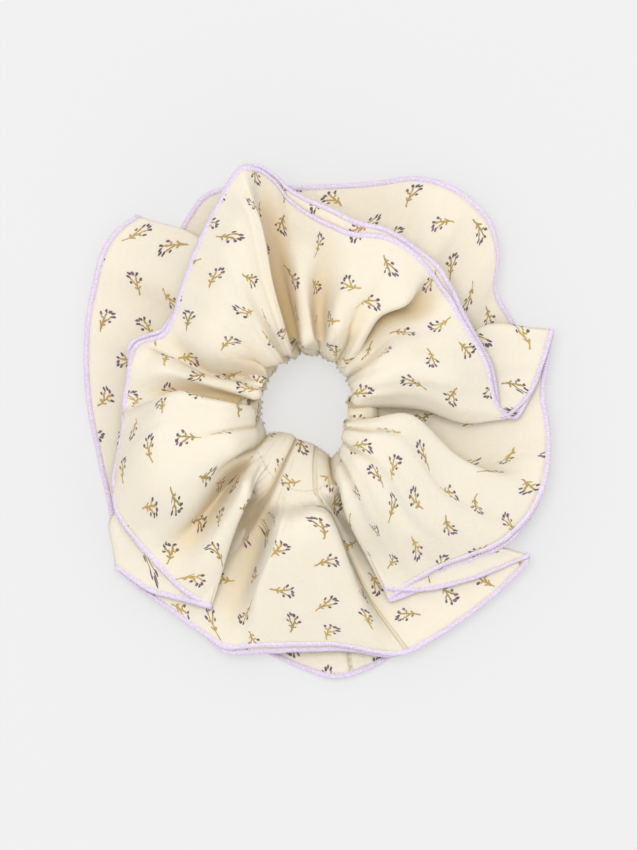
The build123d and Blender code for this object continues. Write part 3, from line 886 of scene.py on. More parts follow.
# ---------------------------------------------------------------------------------------------
# Node helpers
# ---------------------------------------------------------------------------------------------
class Tree:
    """Adds nodes to a node tree, in few words."""

    def __init__(self, tree):
        self.tree = tree

    def add(self, kind, **settings):
        """A node of a kind, with its own settings."""
        node = self.tree.nodes.new(kind)
        for name, value in settings.items():
            setattr(node, name, value)
        return node

    def feed(self, socket, value):
        """Link an output to a socket, or set the socket to a plain value."""
        if isinstance(value, bpy.types.NodeSocket):
            self.tree.links.new(value, socket)
        else:
            socket.default_value = value

    def math(self, operation, *values, clamp=False):
        """A Math node of up to three values."""
        node = self.add("ShaderNodeMath", operation=operation, use_clamp=clamp)
        for socket, value in zip(node.inputs, values):
            self.feed(socket, value)
        return node.outputs[0]

    def vector(self, operation, *values, scale=None):
        """A Vector Math node, which gives a number for a dot product, a length or a distance."""
        node = self.add("ShaderNodeVectorMath", operation=operation)
        for socket, value in zip(node.inputs, values):
            self.feed(socket, value)
        if scale is not None:
            self.feed(node.inputs["Scale"], scale)
        number = operation in {"DOT_PRODUCT", "LENGTH", "DISTANCE"}
        return node.outputs["Value" if number else "Vector"]

    def ramp(self, value, low, high, to_low=0.0, to_high=1.0):
        """A smooth rise of a value between low and high."""
        node = self.add("ShaderNodeMapRange", interpolation_type="SMOOTHSTEP")
        for socket, given in zip(node.inputs, (value, low, high, to_low, to_high)):
            self.feed(socket, given)
        return node.outputs[0]

    def blend(self, part, first, second, kind="MIX"):
        """A mix of two colours."""
        node = self.add("ShaderNodeMix", data_type="RGBA", blend_type=kind)
        self.feed(node.inputs[0], part)
        self.feed(node.inputs[6], first)
        self.feed(node.inputs[7], second)
        return node.outputs[2]

    def noise(self, place, scale, detail=3.0, roughness=0.5):
        """Smooth noise at a place."""
        node = self.add("ShaderNodeTexNoise", noise_dimensions="3D")
        self.feed(node.inputs["Vector"], place)
        self.feed(node.inputs["Scale"], scale)
        self.feed(node.inputs["Detail"], detail)
        self.feed(node.inputs["Roughness"], roughness)
        return node.outputs["Fac"]

    def bump(self, height, distance, strength=1.0, normal=None):
        """A bump from a height in units of distance."""
        node = self.add("ShaderNodeBump")
        self.feed(node.inputs["Height"], height)
        self.feed(node.inputs["Distance"], distance)
        self.feed(node.inputs["Strength"], strength)
        if normal is not None:
            self.feed(node.inputs["Normal"], normal)
        return node.outputs["Normal"]

    def parts(self, vector):
        """The x, y and z of a vector."""
        node = self.add("ShaderNodeSeparateXYZ")
        self.feed(node.inputs[0], vector)
        return node.outputs[0], node.outputs[1], node.outputs[2]

    def join(self, x, y, z=0.0):
        """A vector from three numbers."""
        node = self.add("ShaderNodeCombineXYZ")
        for socket, value in zip(node.inputs, (x, y, z)):
            self.feed(socket, value)
        return node.outputs[0]


    def principled(self, settings):
        """A Principled shader, set from a table of its sockets."""
        node = self.add("ShaderNodeBsdfPrincipled")
        for name, value in settings.items():
            self.feed(node.inputs[name], value)
        return node.outputs[0]

    def cover(self, shader):
        """Make a shader the material's surface."""
        node = self.add("ShaderNodeOutputMaterial")
        self.feed(node.inputs["Surface"], shader)


def new_material(name):
    """An empty material and a helper for its tree."""
    made = bpy.data.materials.new(name)
    made.use_nodes = True
    made.node_tree.nodes.clear()
    return made, Tree(made.node_tree)


def linear(colour):
    """A colour given as the values a screen shows (sRGB), as the shader's linear values."""
    lit = [part / 12.92 if part <= 0.04045 else ((part + 0.055) / 1.055) ** 2.4
           for part in colour]
    return (*lit, 1.0)


# ---------------------------------------------------------------------------------------------
# The print: small sprigs, each turned its own way, in half-dropped rows
# ---------------------------------------------------------------------------------------------
SPRIG_PITCH = 14.5
SPRIG_JITTER = 2.0
STEM_HALF_WIDTH = 0.3
STEM_BLUR = 0.1            # how far to each side of its outline a stem fades
BUD_BLUR = 0.3             # how far outside its outline a bud fades, as a share of the bud
STEM_INK = 0.86            # how much of the cloth's own colour the ink hides
BUD_INK = 0.88
SPRIG_BEND = 0.06
WOBBLE_SCALE = 0.9         # of the waver that no two sprigs share
WOBBLE_SIZE = 0.9
INK_SCALE = 2.2            # of the ink's uneven outline
INK_UNEVEN = 0.35
STEMS = (                  # from, to, in millimetres from the sprig's middle
    ((0.0, -4.0), (0.1, -1.0)),
    ((0.1, -1.0), (0.9, 1.5)),
    ((0.9, 1.5), (1.5, 2.5)),
    ((0.1, -1.4), (-0.6, 1.0)),
    ((-0.6, 1.0), (-0.7, 2.2)),
    ((0.0, -2.3), (1.1, -1.4)),
    ((0.0, -2.0), (-0.9, -1.2)),
    ((0.5, 0.3), (1.6, 0.2)),
)
BUDS = (                   # middle, how long, how wide, which way it points in degrees
    ((1.0, 3.5), 0.66, 0.42, 80),
    ((0.1, 3.9), 0.6, 0.4, 100),
    ((-0.9, 3.0), 0.64, 0.42, 115),
    ((2.1, 2.9), 0.58, 0.36, 40),
    ((2.4, 0.9), 0.62, 0.4, 30),
    ((-1.5, 0.9), 0.5, 0.34, 120),
)


def stem_distance(tree, spot, start, end):
    """Distance from a spot to one straight stretch of stem."""
    run = Vector((end[0] - start[0], end[1] - start[1], 0.0))
    off = tree.vector("SUBTRACT", spot, (start[0], start[1], 0.0))
    part = tree.math("MULTIPLY", tree.vector("DOT_PRODUCT", off, run), 1.0 / run.length_squared,
                     clamp=True)
    near = tree.vector("SCALE", tuple(run), scale=part)
    return tree.vector("DISTANCE", off, near)


def bud_distance(tree, spot, middle, length, width, bearing):
    """How far a spot is from a bud's middle, where 1 is the bud's own outline."""
    turn = math.radians(bearing)
    off = tree.vector("SUBTRACT", spot, (middle[0], middle[1], 0.0))
    ahead = (math.cos(turn) / length, math.sin(turn) / length, 0.0)
    beside = (-math.sin(turn) / width, math.cos(turn) / width, 0.0)
    spot_in_bud = tree.join(
        tree.vector("DOT_PRODUCT", off, ahead),
        tree.vector("DOT_PRODUCT", off, beside),
    )
    return tree.vector("LENGTH", spot_in_bud)


def sprig_group():
    """Node group that turns a place on the cloth, in millimetres, into stem and bud masks."""
    group = bpy.data.node_groups.new("sprig_print", "ShaderNodeTree")
    group.interface.new_socket("Place", in_out="INPUT", socket_type="NodeSocketVector")
    for name in ("Stem", "Bud", "Shade"):
        group.interface.new_socket(name, in_out="OUTPUT", socket_type="NodeSocketFloat")
    tree = Tree(group)
    given = tree.add("NodeGroupInput").outputs["Place"]
    along, over, _ = tree.parts(given)
    column = tree.math("FLOOR", tree.math("DIVIDE", along, SPRIG_PITCH))
    drop = tree.math("MULTIPLY", tree.math("MODULO", column, 2.0), SPRIG_PITCH / 2)
    dropped = tree.math("ADD", over, drop)
    row = tree.math("FLOOR", tree.math("DIVIDE", dropped, SPRIG_PITCH))
    middle_along = tree.math("MULTIPLY", tree.math("ADD", column, 0.5), SPRIG_PITCH)
    middle_over = tree.math("MULTIPLY", tree.math("ADD", row, 0.5), SPRIG_PITCH)
    chance = tree.add("ShaderNodeTexWhiteNoise", noise_dimensions="2D")
    tree.feed(chance.inputs["Vector"], tree.join(column, row))
    first, second, third = tree.parts(chance.outputs["Color"])
    stray_along = tree.math("MULTIPLY", tree.math("SUBTRACT", first, 0.5), SPRIG_JITTER * 2)
    stray_over = tree.math("MULTIPLY", tree.math("SUBTRACT", second, 0.5), SPRIG_JITTER * 2)
    x = tree.math("SUBTRACT", tree.math("SUBTRACT", along, middle_along), stray_along)
    y = tree.math("SUBTRACT", tree.math("SUBTRACT", dropped, middle_over), stray_over)
    turned = tree.add("ShaderNodeVectorRotate", rotation_type="Z_AXIS")
    tree.feed(turned.inputs["Vector"], tree.join(x, y))
    tree.feed(turned.inputs["Angle"], tree.math("MULTIPLY", third, math.tau))
    x, y, _ = tree.parts(turned.outputs[0])
    side = tree.math("SIGN", tree.math("SUBTRACT", chance.outputs["Value"], 0.5))
    x = tree.math("MULTIPLY", x, side)
    bend = tree.math("MULTIPLY", tree.math("MULTIPLY", y, y), SPRIG_BEND)
    wobble = tree.noise(given, WOBBLE_SCALE, 1.0)
    wobble = tree.math("MULTIPLY", tree.math("SUBTRACT", wobble, 0.5), WOBBLE_SIZE)
    spot = tree.join(tree.math("ADD", tree.math("ADD", x, bend), wobble), y)
    stem = None
    for start, end in STEMS:
        near = stem_distance(tree, spot, start, end)
        stem = near if stem is None else tree.math("MINIMUM", stem, near)
    bud = None
    for middle, length, width, bearing in BUDS:
        near = bud_distance(tree, spot, middle, length, width, bearing)
        bud = near if bud is None else tree.math("MINIMUM", bud, near)
    ink = tree.noise(given, INK_SCALE, 2.0, 0.6)
    uneven = tree.math("MULTIPLY", tree.math("SUBTRACT", ink, 0.5), INK_UNEVEN)
    stem = tree.math("ADD", stem, uneven)
    bud = tree.math("ADD", bud, uneven)
    result = tree.add("NodeGroupOutput")
    stem_mask = tree.ramp(stem, STEM_HALF_WIDTH - STEM_BLUR, STEM_HALF_WIDTH + STEM_BLUR, 1.0, 0.0)
    tree.feed(result.inputs["Stem"], stem_mask)
    tree.feed(result.inputs["Bud"], tree.ramp(bud, 1.0, 1.0 + BUD_BLUR, 1.0, 0.0))
    tree.feed(result.inputs["Shade"], chance.outputs["Value"])
    return group


# ---------------------------------------------------------------------------------------------
# Materials.  Scales on the cloth are to the millimetre of its map, heights in millimetres.
# ---------------------------------------------------------------------------------------------
THROUGH_LIGHT = 0.3        # how much of the light goes through the cloth
CREPE_SCALE = 0.45
CREPE_HEIGHT = 0.27
WEAVE_HEIGHT = 0.035
WARP_PITCH = 0.42
WEFT_PITCH = 0.46
SLUB_SCALE = 1.2           # of the uneven thickness of the yarns
SLUB_SLIP = 0.5            # how far it pushes the yarns aside
SLUB_HEIGHT = 2.0          # how high it stands, beside the weave's own height of one
CLOUD_SCALE = 0.07         # of the slow change between the two creams
STREAK_ACROSS = 4.0        # scale across and along a thicker yarn
STREAK_ALONG = 0.7
STREAK_SHOWS = 0.05        # how much of its own cream such a yarn shows
GATHER_SHADE_FROM = 0.15       # how far into the gathers the painted shade starts
GATHER_PAINTED_SHADE = 0.62       # how much of the tan, as painted shade, the deepest gathers take
VALLEY_PAINTED_SHADE = 0.45         # and the deepest hollows between folds, also as painted shade
PRINT_FADES_FROM = 0.35    # how far into the gathers the print starts to fade
PRINT_FADES_TO = 0.62
JOIN_GROOVE = 1.1          # half the width of the dent where a strip's ends are sewn together
JOIN_DEPTH = 0.5
JOIN_FLAT = 0.15           # half the width of the dent's floor
JOIN_TINT = 0.3            # how much of the tan the dent takes
ELASTIC_RIBS = 300.0
RIB_HEIGHT = 0.25
RIB_TINT = 0.35
KNIT_SCALE = 1400.0
KNIT_HEIGHT = 0.1
PAPER_GRAIN = 700.0
GRAIN_HEIGHT = 0.02


def weave_height(tree, place):
    """Height of a fine plain weave at a place on the cloth, in millimetres."""
    slub = tree.noise(place, SLUB_SCALE, 2.0)
    along, over, _ = tree.parts(place)
    slip = tree.math("MULTIPLY", tree.math("SUBTRACT", slub, 0.5), SLUB_SLIP)
    yarns = []
    for run, pitch in ((along, WARP_PITCH), (over, WEFT_PITCH)):
        phase = tree.math("MULTIPLY", tree.math("ADD", run, slip), math.tau / pitch)
        yarns.append(tree.math("SINE", phase))
    crossing = tree.math("MULTIPLY", *yarns)
    return tree.math("ADD", crossing, tree.math("MULTIPLY", slub, SLUB_HEIGHT))


def cloth_material(settings):
    """Cream printed cotton: woven, matt, thin enough to let some light through, and with shade
    painted in tan into its gathers and the hollows between its folds.
    """
    made, tree = new_material("printed_cotton")
    spread = tree.add("ShaderNodeUVMap", uv_map=CUT_MAP).outputs[0]
    place = tree.vector("SCALE", spread, scale=MAP_UNIT)
    sprig = tree.add("ShaderNodeGroup", node_tree=sprig_group())
    tree.feed(sprig.inputs["Place"], place)
    cloud = tree.noise(place, CLOUD_SCALE, 4.0)
    cream = tree.blend(cloud, linear(settings.ground_deep), linear(settings.ground_light))
    yarns = [tree.noise(tree.vector("MULTIPLY", place, scales), 1.0, 2.0)
             for scales in ((STREAK_ACROSS, STREAK_ALONG, 1.0), (STREAK_ALONG, STREAK_ACROSS, 1.0))]
    streak = tree.ramp(tree.math("ADD", *yarns), 0.8, 1.25, 0.0, STREAK_SHOWS)
    cream = tree.blend(streak, cream, linear(settings.ground_streak))
    tan = linear(settings.shade_and_seam_tan)
    # Painted shade: the tan darkens the cloth deep in the gathers, where shade falls.
    gathered = tree.add("ShaderNodeAttribute", attribute_name=GATHERED).outputs["Fac"]
    cream = tree.blend(tree.ramp(gathered, GATHER_SHADE_FROM, 1.0, 0.0, GATHER_PAINTED_SHADE), cream, tan)
    # Painted shade: the tan also darkens the hollows between folds, where shade falls.
    valley = tree.add("ShaderNodeAttribute", attribute_name=VALLEY).outputs["Fac"]
    cream = tree.blend(tree.math("MULTIPLY", valley, VALLEY_PAINTED_SHADE), cream, tan)
    stem_ink = tree.blend(sprig.outputs["Shade"], linear(settings.stem_dark),
                          linear(settings.stem_light))
    open_cloth = tree.ramp(gathered, PRINT_FADES_FROM, PRINT_FADES_TO, 1.0, 0.0)
    stem_mask = tree.math("MULTIPLY", sprig.outputs["Stem"], open_cloth)
    bud_mask = tree.math("MULTIPLY", sprig.outputs["Bud"], open_cloth)
    printed = tree.blend(tree.math("MULTIPLY", stem_mask, STEM_INK), cream, stem_ink)
    tint = tree.ramp(tree.noise(place, 0.8, 1.0), 0.42, 0.58)
    bud_ink = tree.blend(tint, linear(settings.bud_dark), linear(settings.bud_light))
    printed = tree.blend(tree.math("MULTIPLY", bud_mask, BUD_INK), printed, bud_ink)
    run, _, _ = tree.parts(place)
    from_join = tree.math("MINIMUM", run, tree.math("SUBTRACT", STRIP_LENGTH, run))
    seam = tree.ramp(from_join, JOIN_FLAT, JOIN_GROOVE)
    clear = tree.math("ADD", tree.math("MULTIPLY", seam, JOIN_TINT), 1.0 - JOIN_TINT, clamp=True)
    printed = tree.blend(clear, tan, printed)
    crepe = tree.noise(place, CREPE_SCALE, 4.0, 0.55)
    normal = tree.bump(crepe, CREPE_HEIGHT * MM)
    normal = tree.bump(seam, JOIN_DEPTH * MM, 1.0, normal)
    normal = tree.bump(weave_height(tree, place), WEAVE_HEIGHT * MM, 0.7, normal)
    shader = tree.principled({
        "Base Color": printed,
        "Roughness": 0.92,
        "Sheen Weight": 0.25,
        "Sheen Roughness": 0.4,
        "Specular IOR Level": 0.25,
        "Normal": normal,
    })
    through = tree.add("ShaderNodeBsdfTranslucent")
    tinted = tree.blend(1.0, printed, linear(settings.through_tint), "MULTIPLY")
    tree.feed(through.inputs["Color"], tinted)
    tree.feed(through.inputs["Normal"], normal)
    mixed = tree.add("ShaderNodeMixShader")
    tree.feed(mixed.inputs[0], THROUGH_LIGHT)
    tree.feed(mixed.inputs[1], shader)
    tree.feed(mixed.inputs[2], through.outputs[0])
    tree.cover(mixed.outputs[0])
    return made


def thread_material(name, colour):
    """Spun sewing thread: a soft sheen and a twist that shows as fine ridges."""
    made, tree = new_material(name)
    place = tree.add("ShaderNodeTexCoord").outputs["Object"]
    fuzz = tree.noise(place, THREAD_FUZZ, 3.0)
    deep = tuple(part * THREAD_DEEP for part in linear(colour)[:3]) + (1.0,)
    shade = tree.blend(tree.ramp(fuzz, 0.35, 0.65), deep, linear(colour))
    ridge = tree.add("ShaderNodeTexWave", wave_type="BANDS", bands_direction="DIAGONAL")
    tree.feed(ridge.inputs["Vector"], place)
    tree.feed(ridge.inputs["Scale"], THREAD_TWIST)
    tree.feed(ridge.inputs["Distortion"], 1.5)
    tree.cover(tree.principled({
        "Base Color": shade,
        "Roughness": 0.62,
        "Sheen Weight": 0.12,
        "Normal": tree.bump(ridge.outputs["Fac"], TWIST_HEIGHT * MM, 0.8),
    }))
    return made


def elastic_material(settings):
    """Knitted elastic: fine ribs that run along the band, and a dull white yarn."""
    made, tree = new_material("ribbed_elastic")
    place = tree.add("ShaderNodeTexCoord").outputs["Object"]
    ribs = tree.add("ShaderNodeTexWave", wave_type="BANDS", bands_direction="Z")
    tree.feed(ribs.inputs["Vector"], place)
    tree.feed(ribs.inputs["Scale"], ELASTIC_RIBS)
    tree.feed(ribs.inputs["Distortion"], 0.6)
    knit = tree.noise(place, KNIT_SCALE, 2.0)
    yarn = tree.blend(knit, linear(settings.elastic_deep), linear(settings.elastic_light))
    yarn = tree.blend(tree.math("MULTIPLY", ribs.outputs["Fac"], RIB_TINT), yarn,
                      linear(settings.elastic_deep))
    normal = tree.bump(ribs.outputs["Fac"], RIB_HEIGHT * MM)
    tree.cover(tree.principled({
        "Base Color": yarn,
        "Roughness": 0.8,
        "Sheen Weight": 0.3,
        "Normal": tree.bump(knit, KNIT_HEIGHT * MM, 0.6, normal),
    }))
    return made


def floor_material(settings):
    """Plain pale paper on a softly lit table."""
    made, tree = new_material("pale_paper")
    place = tree.add("ShaderNodeTexCoord").outputs["Object"]
    grain = tree.noise(place, PAPER_GRAIN, 3.0)
    tree.cover(tree.principled({
        "Base Color": linear(settings.floor_colour),
        "Roughness": 0.95,
        "Specular IOR Level": 0.1,
        "Emission Color": (1.0, 1.0, 1.0, 1.0),
        "Emission Strength": settings.floor_glow,
        "Normal": tree.bump(grain, GRAIN_HEIGHT * MM, 0.3),
    }))
    return made


# ---------------------------------------------------------------------------------------------
# Stitches along a line
# ---------------------------------------------------------------------------------------------
def stitch_tree():
    """Node tree that sets one stitch after another along a closed line of edges."""
    group = bpy.data.node_groups.new("stitches_along_line", "GeometryNodeTree")
    inputs = (
        ("Line", "NodeSocketGeometry", None),
        ("Stitch", "NodeSocketObject", None),
        ("Pitch", "NodeSocketFloat", 0.75 * MM),
        ("Lean", "NodeSocketFloat", 0.1),
        ("Seed", "NodeSocketInt", 1),
        ("Thread", "NodeSocketMaterial", None),
    )
    for name, kind, value in inputs:
        socket = group.interface.new_socket(name, in_out="INPUT", socket_type=kind)
        if value is not None:
            socket.default_value = value
    group.interface.new_socket("Stitches", in_out="OUTPUT", socket_type="NodeSocketGeometry")
    tree = Tree(group)
    given = tree.add("NodeGroupInput").outputs
    curve = tree.add("GeometryNodeMeshToCurve")
    tree.feed(curve.inputs[0], given["Line"])
    spaced = tree.add("GeometryNodeResampleCurve", mode="LENGTH")
    tree.feed(spaced.inputs["Curve"], curve.outputs[0])
    tree.feed(spaced.inputs["Length"], given["Pitch"])
    facing = tree.add("GeometryNodeInputNamedAttribute", data_type="FLOAT_VECTOR")
    tree.feed(facing.inputs["Name"], FACING)
    upright = tree.add("FunctionNodeAlignRotationToVector", axis="Z", pivot_axis="AUTO")
    tree.feed(upright.inputs["Vector"], facing.outputs[0])
    along = tree.add("FunctionNodeAlignRotationToVector", axis="X", pivot_axis="Z")
    tree.feed(along.inputs["Rotation"], upright.outputs[0])
    tree.feed(along.inputs["Vector"], tree.add("GeometryNodeInputTangent").outputs[0])
    lean = tree.add("FunctionNodeRandomValue", data_type="FLOAT")
    tree.feed(lean.inputs[2], tree.math("MULTIPLY", given["Lean"], -1.0))
    tree.feed(lean.inputs[3], given["Lean"])
    tree.feed(lean.inputs["Seed"], given["Seed"])
    turn = tree.add("FunctionNodeRotateRotation", rotation_space="LOCAL")
    tree.feed(turn.inputs[0], along.outputs[0])
    tree.feed(turn.inputs[1], tree.join(0.0, 0.0, lean.outputs[1]))
    stitch = tree.add("GeometryNodeObjectInfo")
    tree.feed(stitch.inputs["Object"], given["Stitch"])
    placed = tree.add("GeometryNodeInstanceOnPoints")
    tree.feed(placed.inputs["Points"], spaced.outputs[0])
    tree.feed(placed.inputs["Instance"], stitch.outputs["Geometry"])
    tree.feed(placed.inputs["Rotation"], turn.outputs[0])
    real = tree.add("GeometryNodeRealizeInstances")
    tree.feed(real.inputs[0], placed.outputs[0])
    coated = tree.add("GeometryNodeSetMaterial")
    tree.feed(coated.inputs["Geometry"], real.outputs[0])
    tree.feed(coated.inputs["Material"], given["Thread"])
    tree.feed(tree.add("NodeGroupOutput").inputs[0], coated.outputs[0])
    return group


def sew(name, line, stitch, pitch, lean, seed, thread):
    """A plain mesh of stitches along a line, made by the stitch tree."""
    row = new_object(name, line)
    modifier = row.modifiers.new("stitches", "NODES")
    modifier.node_group = bpy.data.node_groups.get("stitches_along_line") or stitch_tree()
    given = {
        "Stitch": stitch,
        "Pitch": pitch * MM,
        "Lean": lean,
        "Seed": seed,
        "Thread": thread,
    }
    for socket in modifier.node_group.interface.items_tree:
        if socket.name in given:
            modifier[socket.identifier] = given[socket.name]
    bpy.context.view_layer.update()
    evaluated = row.evaluated_get(bpy.context.evaluated_depsgraph_get())
    made = bpy.data.meshes.new_from_object(evaluated)
    row.modifiers.remove(modifier)
    row.data = made
    if not made.polygons:
        raise RuntimeError(f"{name} has no stitches")
    made.materials.clear()
    made.materials.append(thread)
    made.polygons.foreach_set("use_smooth", [True] * len(made.polygons))
    return row


def hem_tube(name, points, normals, outward):
    """The closed bead of thread that covers a cut edge."""
    count = len(points)
    turn = np.arange(HEM_SIDES) * math.tau / HEM_SIDES
    ring = (outward[:, None] * np.cos(turn)[None, :, None] * HEM_HALF_WIDE
            + normals[:, None] * np.sin(turn)[None, :, None] * HEM_HALF_THICK)
    spots = (points[:, None] + ring).reshape(-1, 3)
    faces = []
    for step in range(count):
        following = (step + 1) % count
        for side in range(HEM_SIDES):
            beside = (side + 1) % HEM_SIDES
            faces.append((step * HEM_SIDES + side, step * HEM_SIDES + beside,
                          following * HEM_SIDES + beside, following * HEM_SIDES + side))
    mesh = bpy.data.meshes.new(name)
    fill_mesh(mesh, spots, faces)
    return mesh


def join_meshes(name, first, others):
    """One object from several, under a new name."""
    bpy.ops.object.select_all(action="DESELECT")
    for piece in (first, *others):
        piece.select_set(True)
    bpy.context.view_layer.objects.active = first
    bpy.ops.object.join()
    first.name = name
    first.data.name = name
    return first


def discard(piece):
    """Remove a helper object."""
    bpy.data.objects.remove(piece, do_unlink=True)


# ---------------------------------------------------------------------------------------------
# Settings
# ---------------------------------------------------------------------------------------------
def colour_setting(name, description, default):
    """A colour setting, with its default from 0 to 255, as a screen shows it."""
    return FloatVectorProperty(
        name=name, description=description, subtype="COLOR_GAMMA",
        default=tuple(part / 255.0 for part in default), min=0.0, max=1.0)


class ClothSettings(bpy.types.PropertyGroup):
    """Colours of the printed cotton and the elastic."""

    ground_light: colour_setting(
        name="Ground light", description="Lightest cream of the cloth",
        default=(254, 251, 241))
    ground_deep: colour_setting(
        name="Ground deep", description="Deepest cream of the cloth",
        default=(253, 247, 232))
    ground_streak: colour_setting(
        name="Ground streak", description="Cream of the thicker yarns",
        default=(246, 236, 210))
    # Tan painted as shade into the deep gathers and the hollows between folds; it also colours the
    # darker line of the strip's join.
    shade_and_seam_tan: colour_setting(
        name="Ground gathered", description="Tan of the cloth bunched deep in the gathers",
        default=(242, 218, 160))
    through_tint: colour_setting(
        name="Through tint", description="Colour of the light that comes through the cloth",
        default=(255, 243, 196))
    stem_light: colour_setting(
        name="Stem light", description="Lighter olive of the printed stems",
        default=(204, 170, 52))
    stem_dark: colour_setting(
        name="Stem dark", description="Darker olive of the printed stems",
        default=(170, 138, 32))
    bud_light: colour_setting(
        name="Bud light", description="Lighter plum of the printed buds",
        default=(132, 86, 124))
    bud_dark: colour_setting(
        name="Bud dark", description="Darker plum of the printed buds",
        default=(54, 44, 50))
    elastic_light: colour_setting(
        name="Elastic light", description="Lighter yarn of the elastic",
        default=(240, 236, 226))
    elastic_deep: colour_setting(
        name="Elastic deep", description="Deeper yarn of the elastic",
        default=(196, 190, 176))


class ThreadSettings(bpy.types.PropertyGroup):
    """Colours and spacing of the threads."""

    overlock_colour: colour_setting(
        name="Overlock colour", description="Lilac thread that covers the cut edges",
        default=(234, 221, 241))
    sewing_colour: colour_setting(
        name="Sewing colour", description="Cream thread of the channel and the joins",
        default=(240, 230, 206))
    overlock_pitch: FloatProperty(
        name="Overlock pitch", description="Distance between overlock loops",
        default=0.85 * MM, min=0.3 * MM, subtype="DISTANCE", unit="LENGTH")
    channel_pitch: FloatProperty(
        name="Channel pitch", description="Length of cloth for each channel stitch",
        default=1.6 * MM, min=0.5 * MM, subtype="DISTANCE", unit="LENGTH")
    seed: IntProperty(
        name="Seed", description="Start of the stitches' small unevenness", default=7, min=0)


class StageSettings(bpy.types.PropertyGroup):
    """Floor, lamps and camera."""

    floor_colour: colour_setting(
        name="Floor colour", description="Colour of the paper under the scrunchie",
        default=(148, 148, 149))
    floor_glow: FloatProperty(
        name="Floor glow", description="How strongly the table lights the paper from below",
        default=0.5, min=0.0)
    key_power: FloatProperty(
        name="Key power", description="Power of the large lamp, in watts",
        default=24.5, min=0.0)
    sky_strength: FloatProperty(
        name="Sky strength", description="Strength of the even light from all round",
        default=0.83, min=0.0)
    camera_height: FloatProperty(
        name="Camera height", description="Height of the camera over the floor",
        default=2.5, min=0.5, subtype="DISTANCE", unit="LENGTH")
    view_height: FloatProperty(
        name="View height", description="Length of floor that the picture shows",
        default=284.75 * MM, min=0.05, subtype="DISTANCE", unit="LENGTH")


class ScrunchieSettings(bpy.types.PropertyGroup):
    """All settings of the scrunchie."""

    cloth: PointerProperty(type=ClothSettings, name="Cloth", description="Cloth colours")
    thread: PointerProperty(type=ThreadSettings, name="Thread", description="Thread settings")
    stage: PointerProperty(type=StageSettings, name="Stage", description="Stage settings")


# ---------------------------------------------------------------------------------------------
# Pieces
# ---------------------------------------------------------------------------------------------
def material(name, maker, *given):
    """A material by name, made the first time it is asked for."""
    return bpy.data.materials.get(name) or maker(*given)


def overlock_thread(settings):
    """The lilac overlock thread."""
    return material("lilac_thread", thread_material, "lilac_thread",
                    settings.thread.overlock_colour)


def sewing_thread(settings):
    """The cream sewing thread."""
    return material("cream_thread", thread_material, "cream_thread",
                    settings.thread.sewing_colour)


class StripOperator:
    """What the two strips' operators have in common."""

    def lay(self, context, name, inner, nodes):
        """Make a strip, give it its cloth, hang it under the root and hide the frame's parts that
        it stands for.
        """
        settings = context.scene.scrunchie
        piece = make_strip(name, inner)
        piece.data.materials.append(material("printed_cotton", cloth_material, settings.cloth))
        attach(piece, "root")
        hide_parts(*nodes)
        return {"FINISHED"}


class SCRUNCHIE_OT_outer_strip(StripOperator, bpy.types.Operator):
    """Lay the strip that shows from above, round the hole and underneath"""

    bl_idname = "scrunchie.outer_strip"
    bl_label = "Outer strip"

    def execute(self, context):
        nodes = ("upper_frill_outer_leaf", "casing_inner_wall", "lower_frill_outer_leaf")
        return self.lay(context, OUTER_STRIP, False, nodes)


class SCRUNCHIE_OT_inner_strip(StripOperator, bpy.types.Operator):
    """Lay the strip that lines the frills and closes the channel from outside"""

    bl_idname = "scrunchie.inner_strip"
    bl_label = "Inner strip"

    def execute(self, context):
        nodes = ("upper_frill_inner_leaf", "casing_outer_wall", "lower_frill_inner_leaf")
        return self.lay(context, INNER_STRIP, True, nodes)


class SCRUNCHIE_OT_overlock_edges(bpy.types.Operator):
    """Cover the four cut edges with overlock thread"""

    bl_idname = "scrunchie.overlock_edges"
    bl_label = "Overlock edges"

    def execute(self, context):
        settings = context.scene.scrunchie
        thread = overlock_thread(settings)
        loop = new_object("overlock_loop",
                          thread_mesh("overlock_loop", hem_loop(), OVERLOCK_RADIUS))
        pitch = settings.thread.overlock_pitch / MM
        for number, (strip, end, node) in enumerate(HEMS):
            grid, normals = strip_lines(strip)
            points, facing = grid[:, end], normals[:, end]
            outward = unit_rows(points - grid[:, end + (1 if end == 0 else -1)])
            bead = new_object(node + "_bead", hem_tube(node, points, facing, outward))
            bead.data.materials.append(thread)
            line = line_mesh(node, points, outward)
            row = sew(node + "_loops", line, loop, pitch, OVERLOCK_LEAN,
                      settings.thread.seed + number, thread)
            piece = join_meshes(node + "_thread", bead, [row])
            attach(piece, "root")
            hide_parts(node)
        discard(loop)
        return {"FINISHED"}


def hem_loop():
    """One overlock loop round a cut edge, with the edge's outward side up the z axis."""
    turn = np.linspace(-LOOP_HALF_TURN, LOOP_HALF_TURN, LOOP_POINTS)
    path = np.zeros((LOOP_POINTS, 3))
    path[:, 0] = np.linspace(-LOOP_SLANT, LOOP_SLANT, LOOP_POINTS)
    path[:, 1] = np.sin(turn) * (HEM_HALF_THICK + LOOP_CLEAR)
    path[:, 2] = np.cos(turn) * (HEM_HALF_WIDE + LOOP_CLEAR)
    return path


def seam_line(strip, across):
    """Points and outward normals of a line across the columns of a strip."""
    grid, normals = strip_lines(strip)
    row = int(np.argmin(np.abs(even_across() - across)))
    return grid[:, row], normals[:, row]


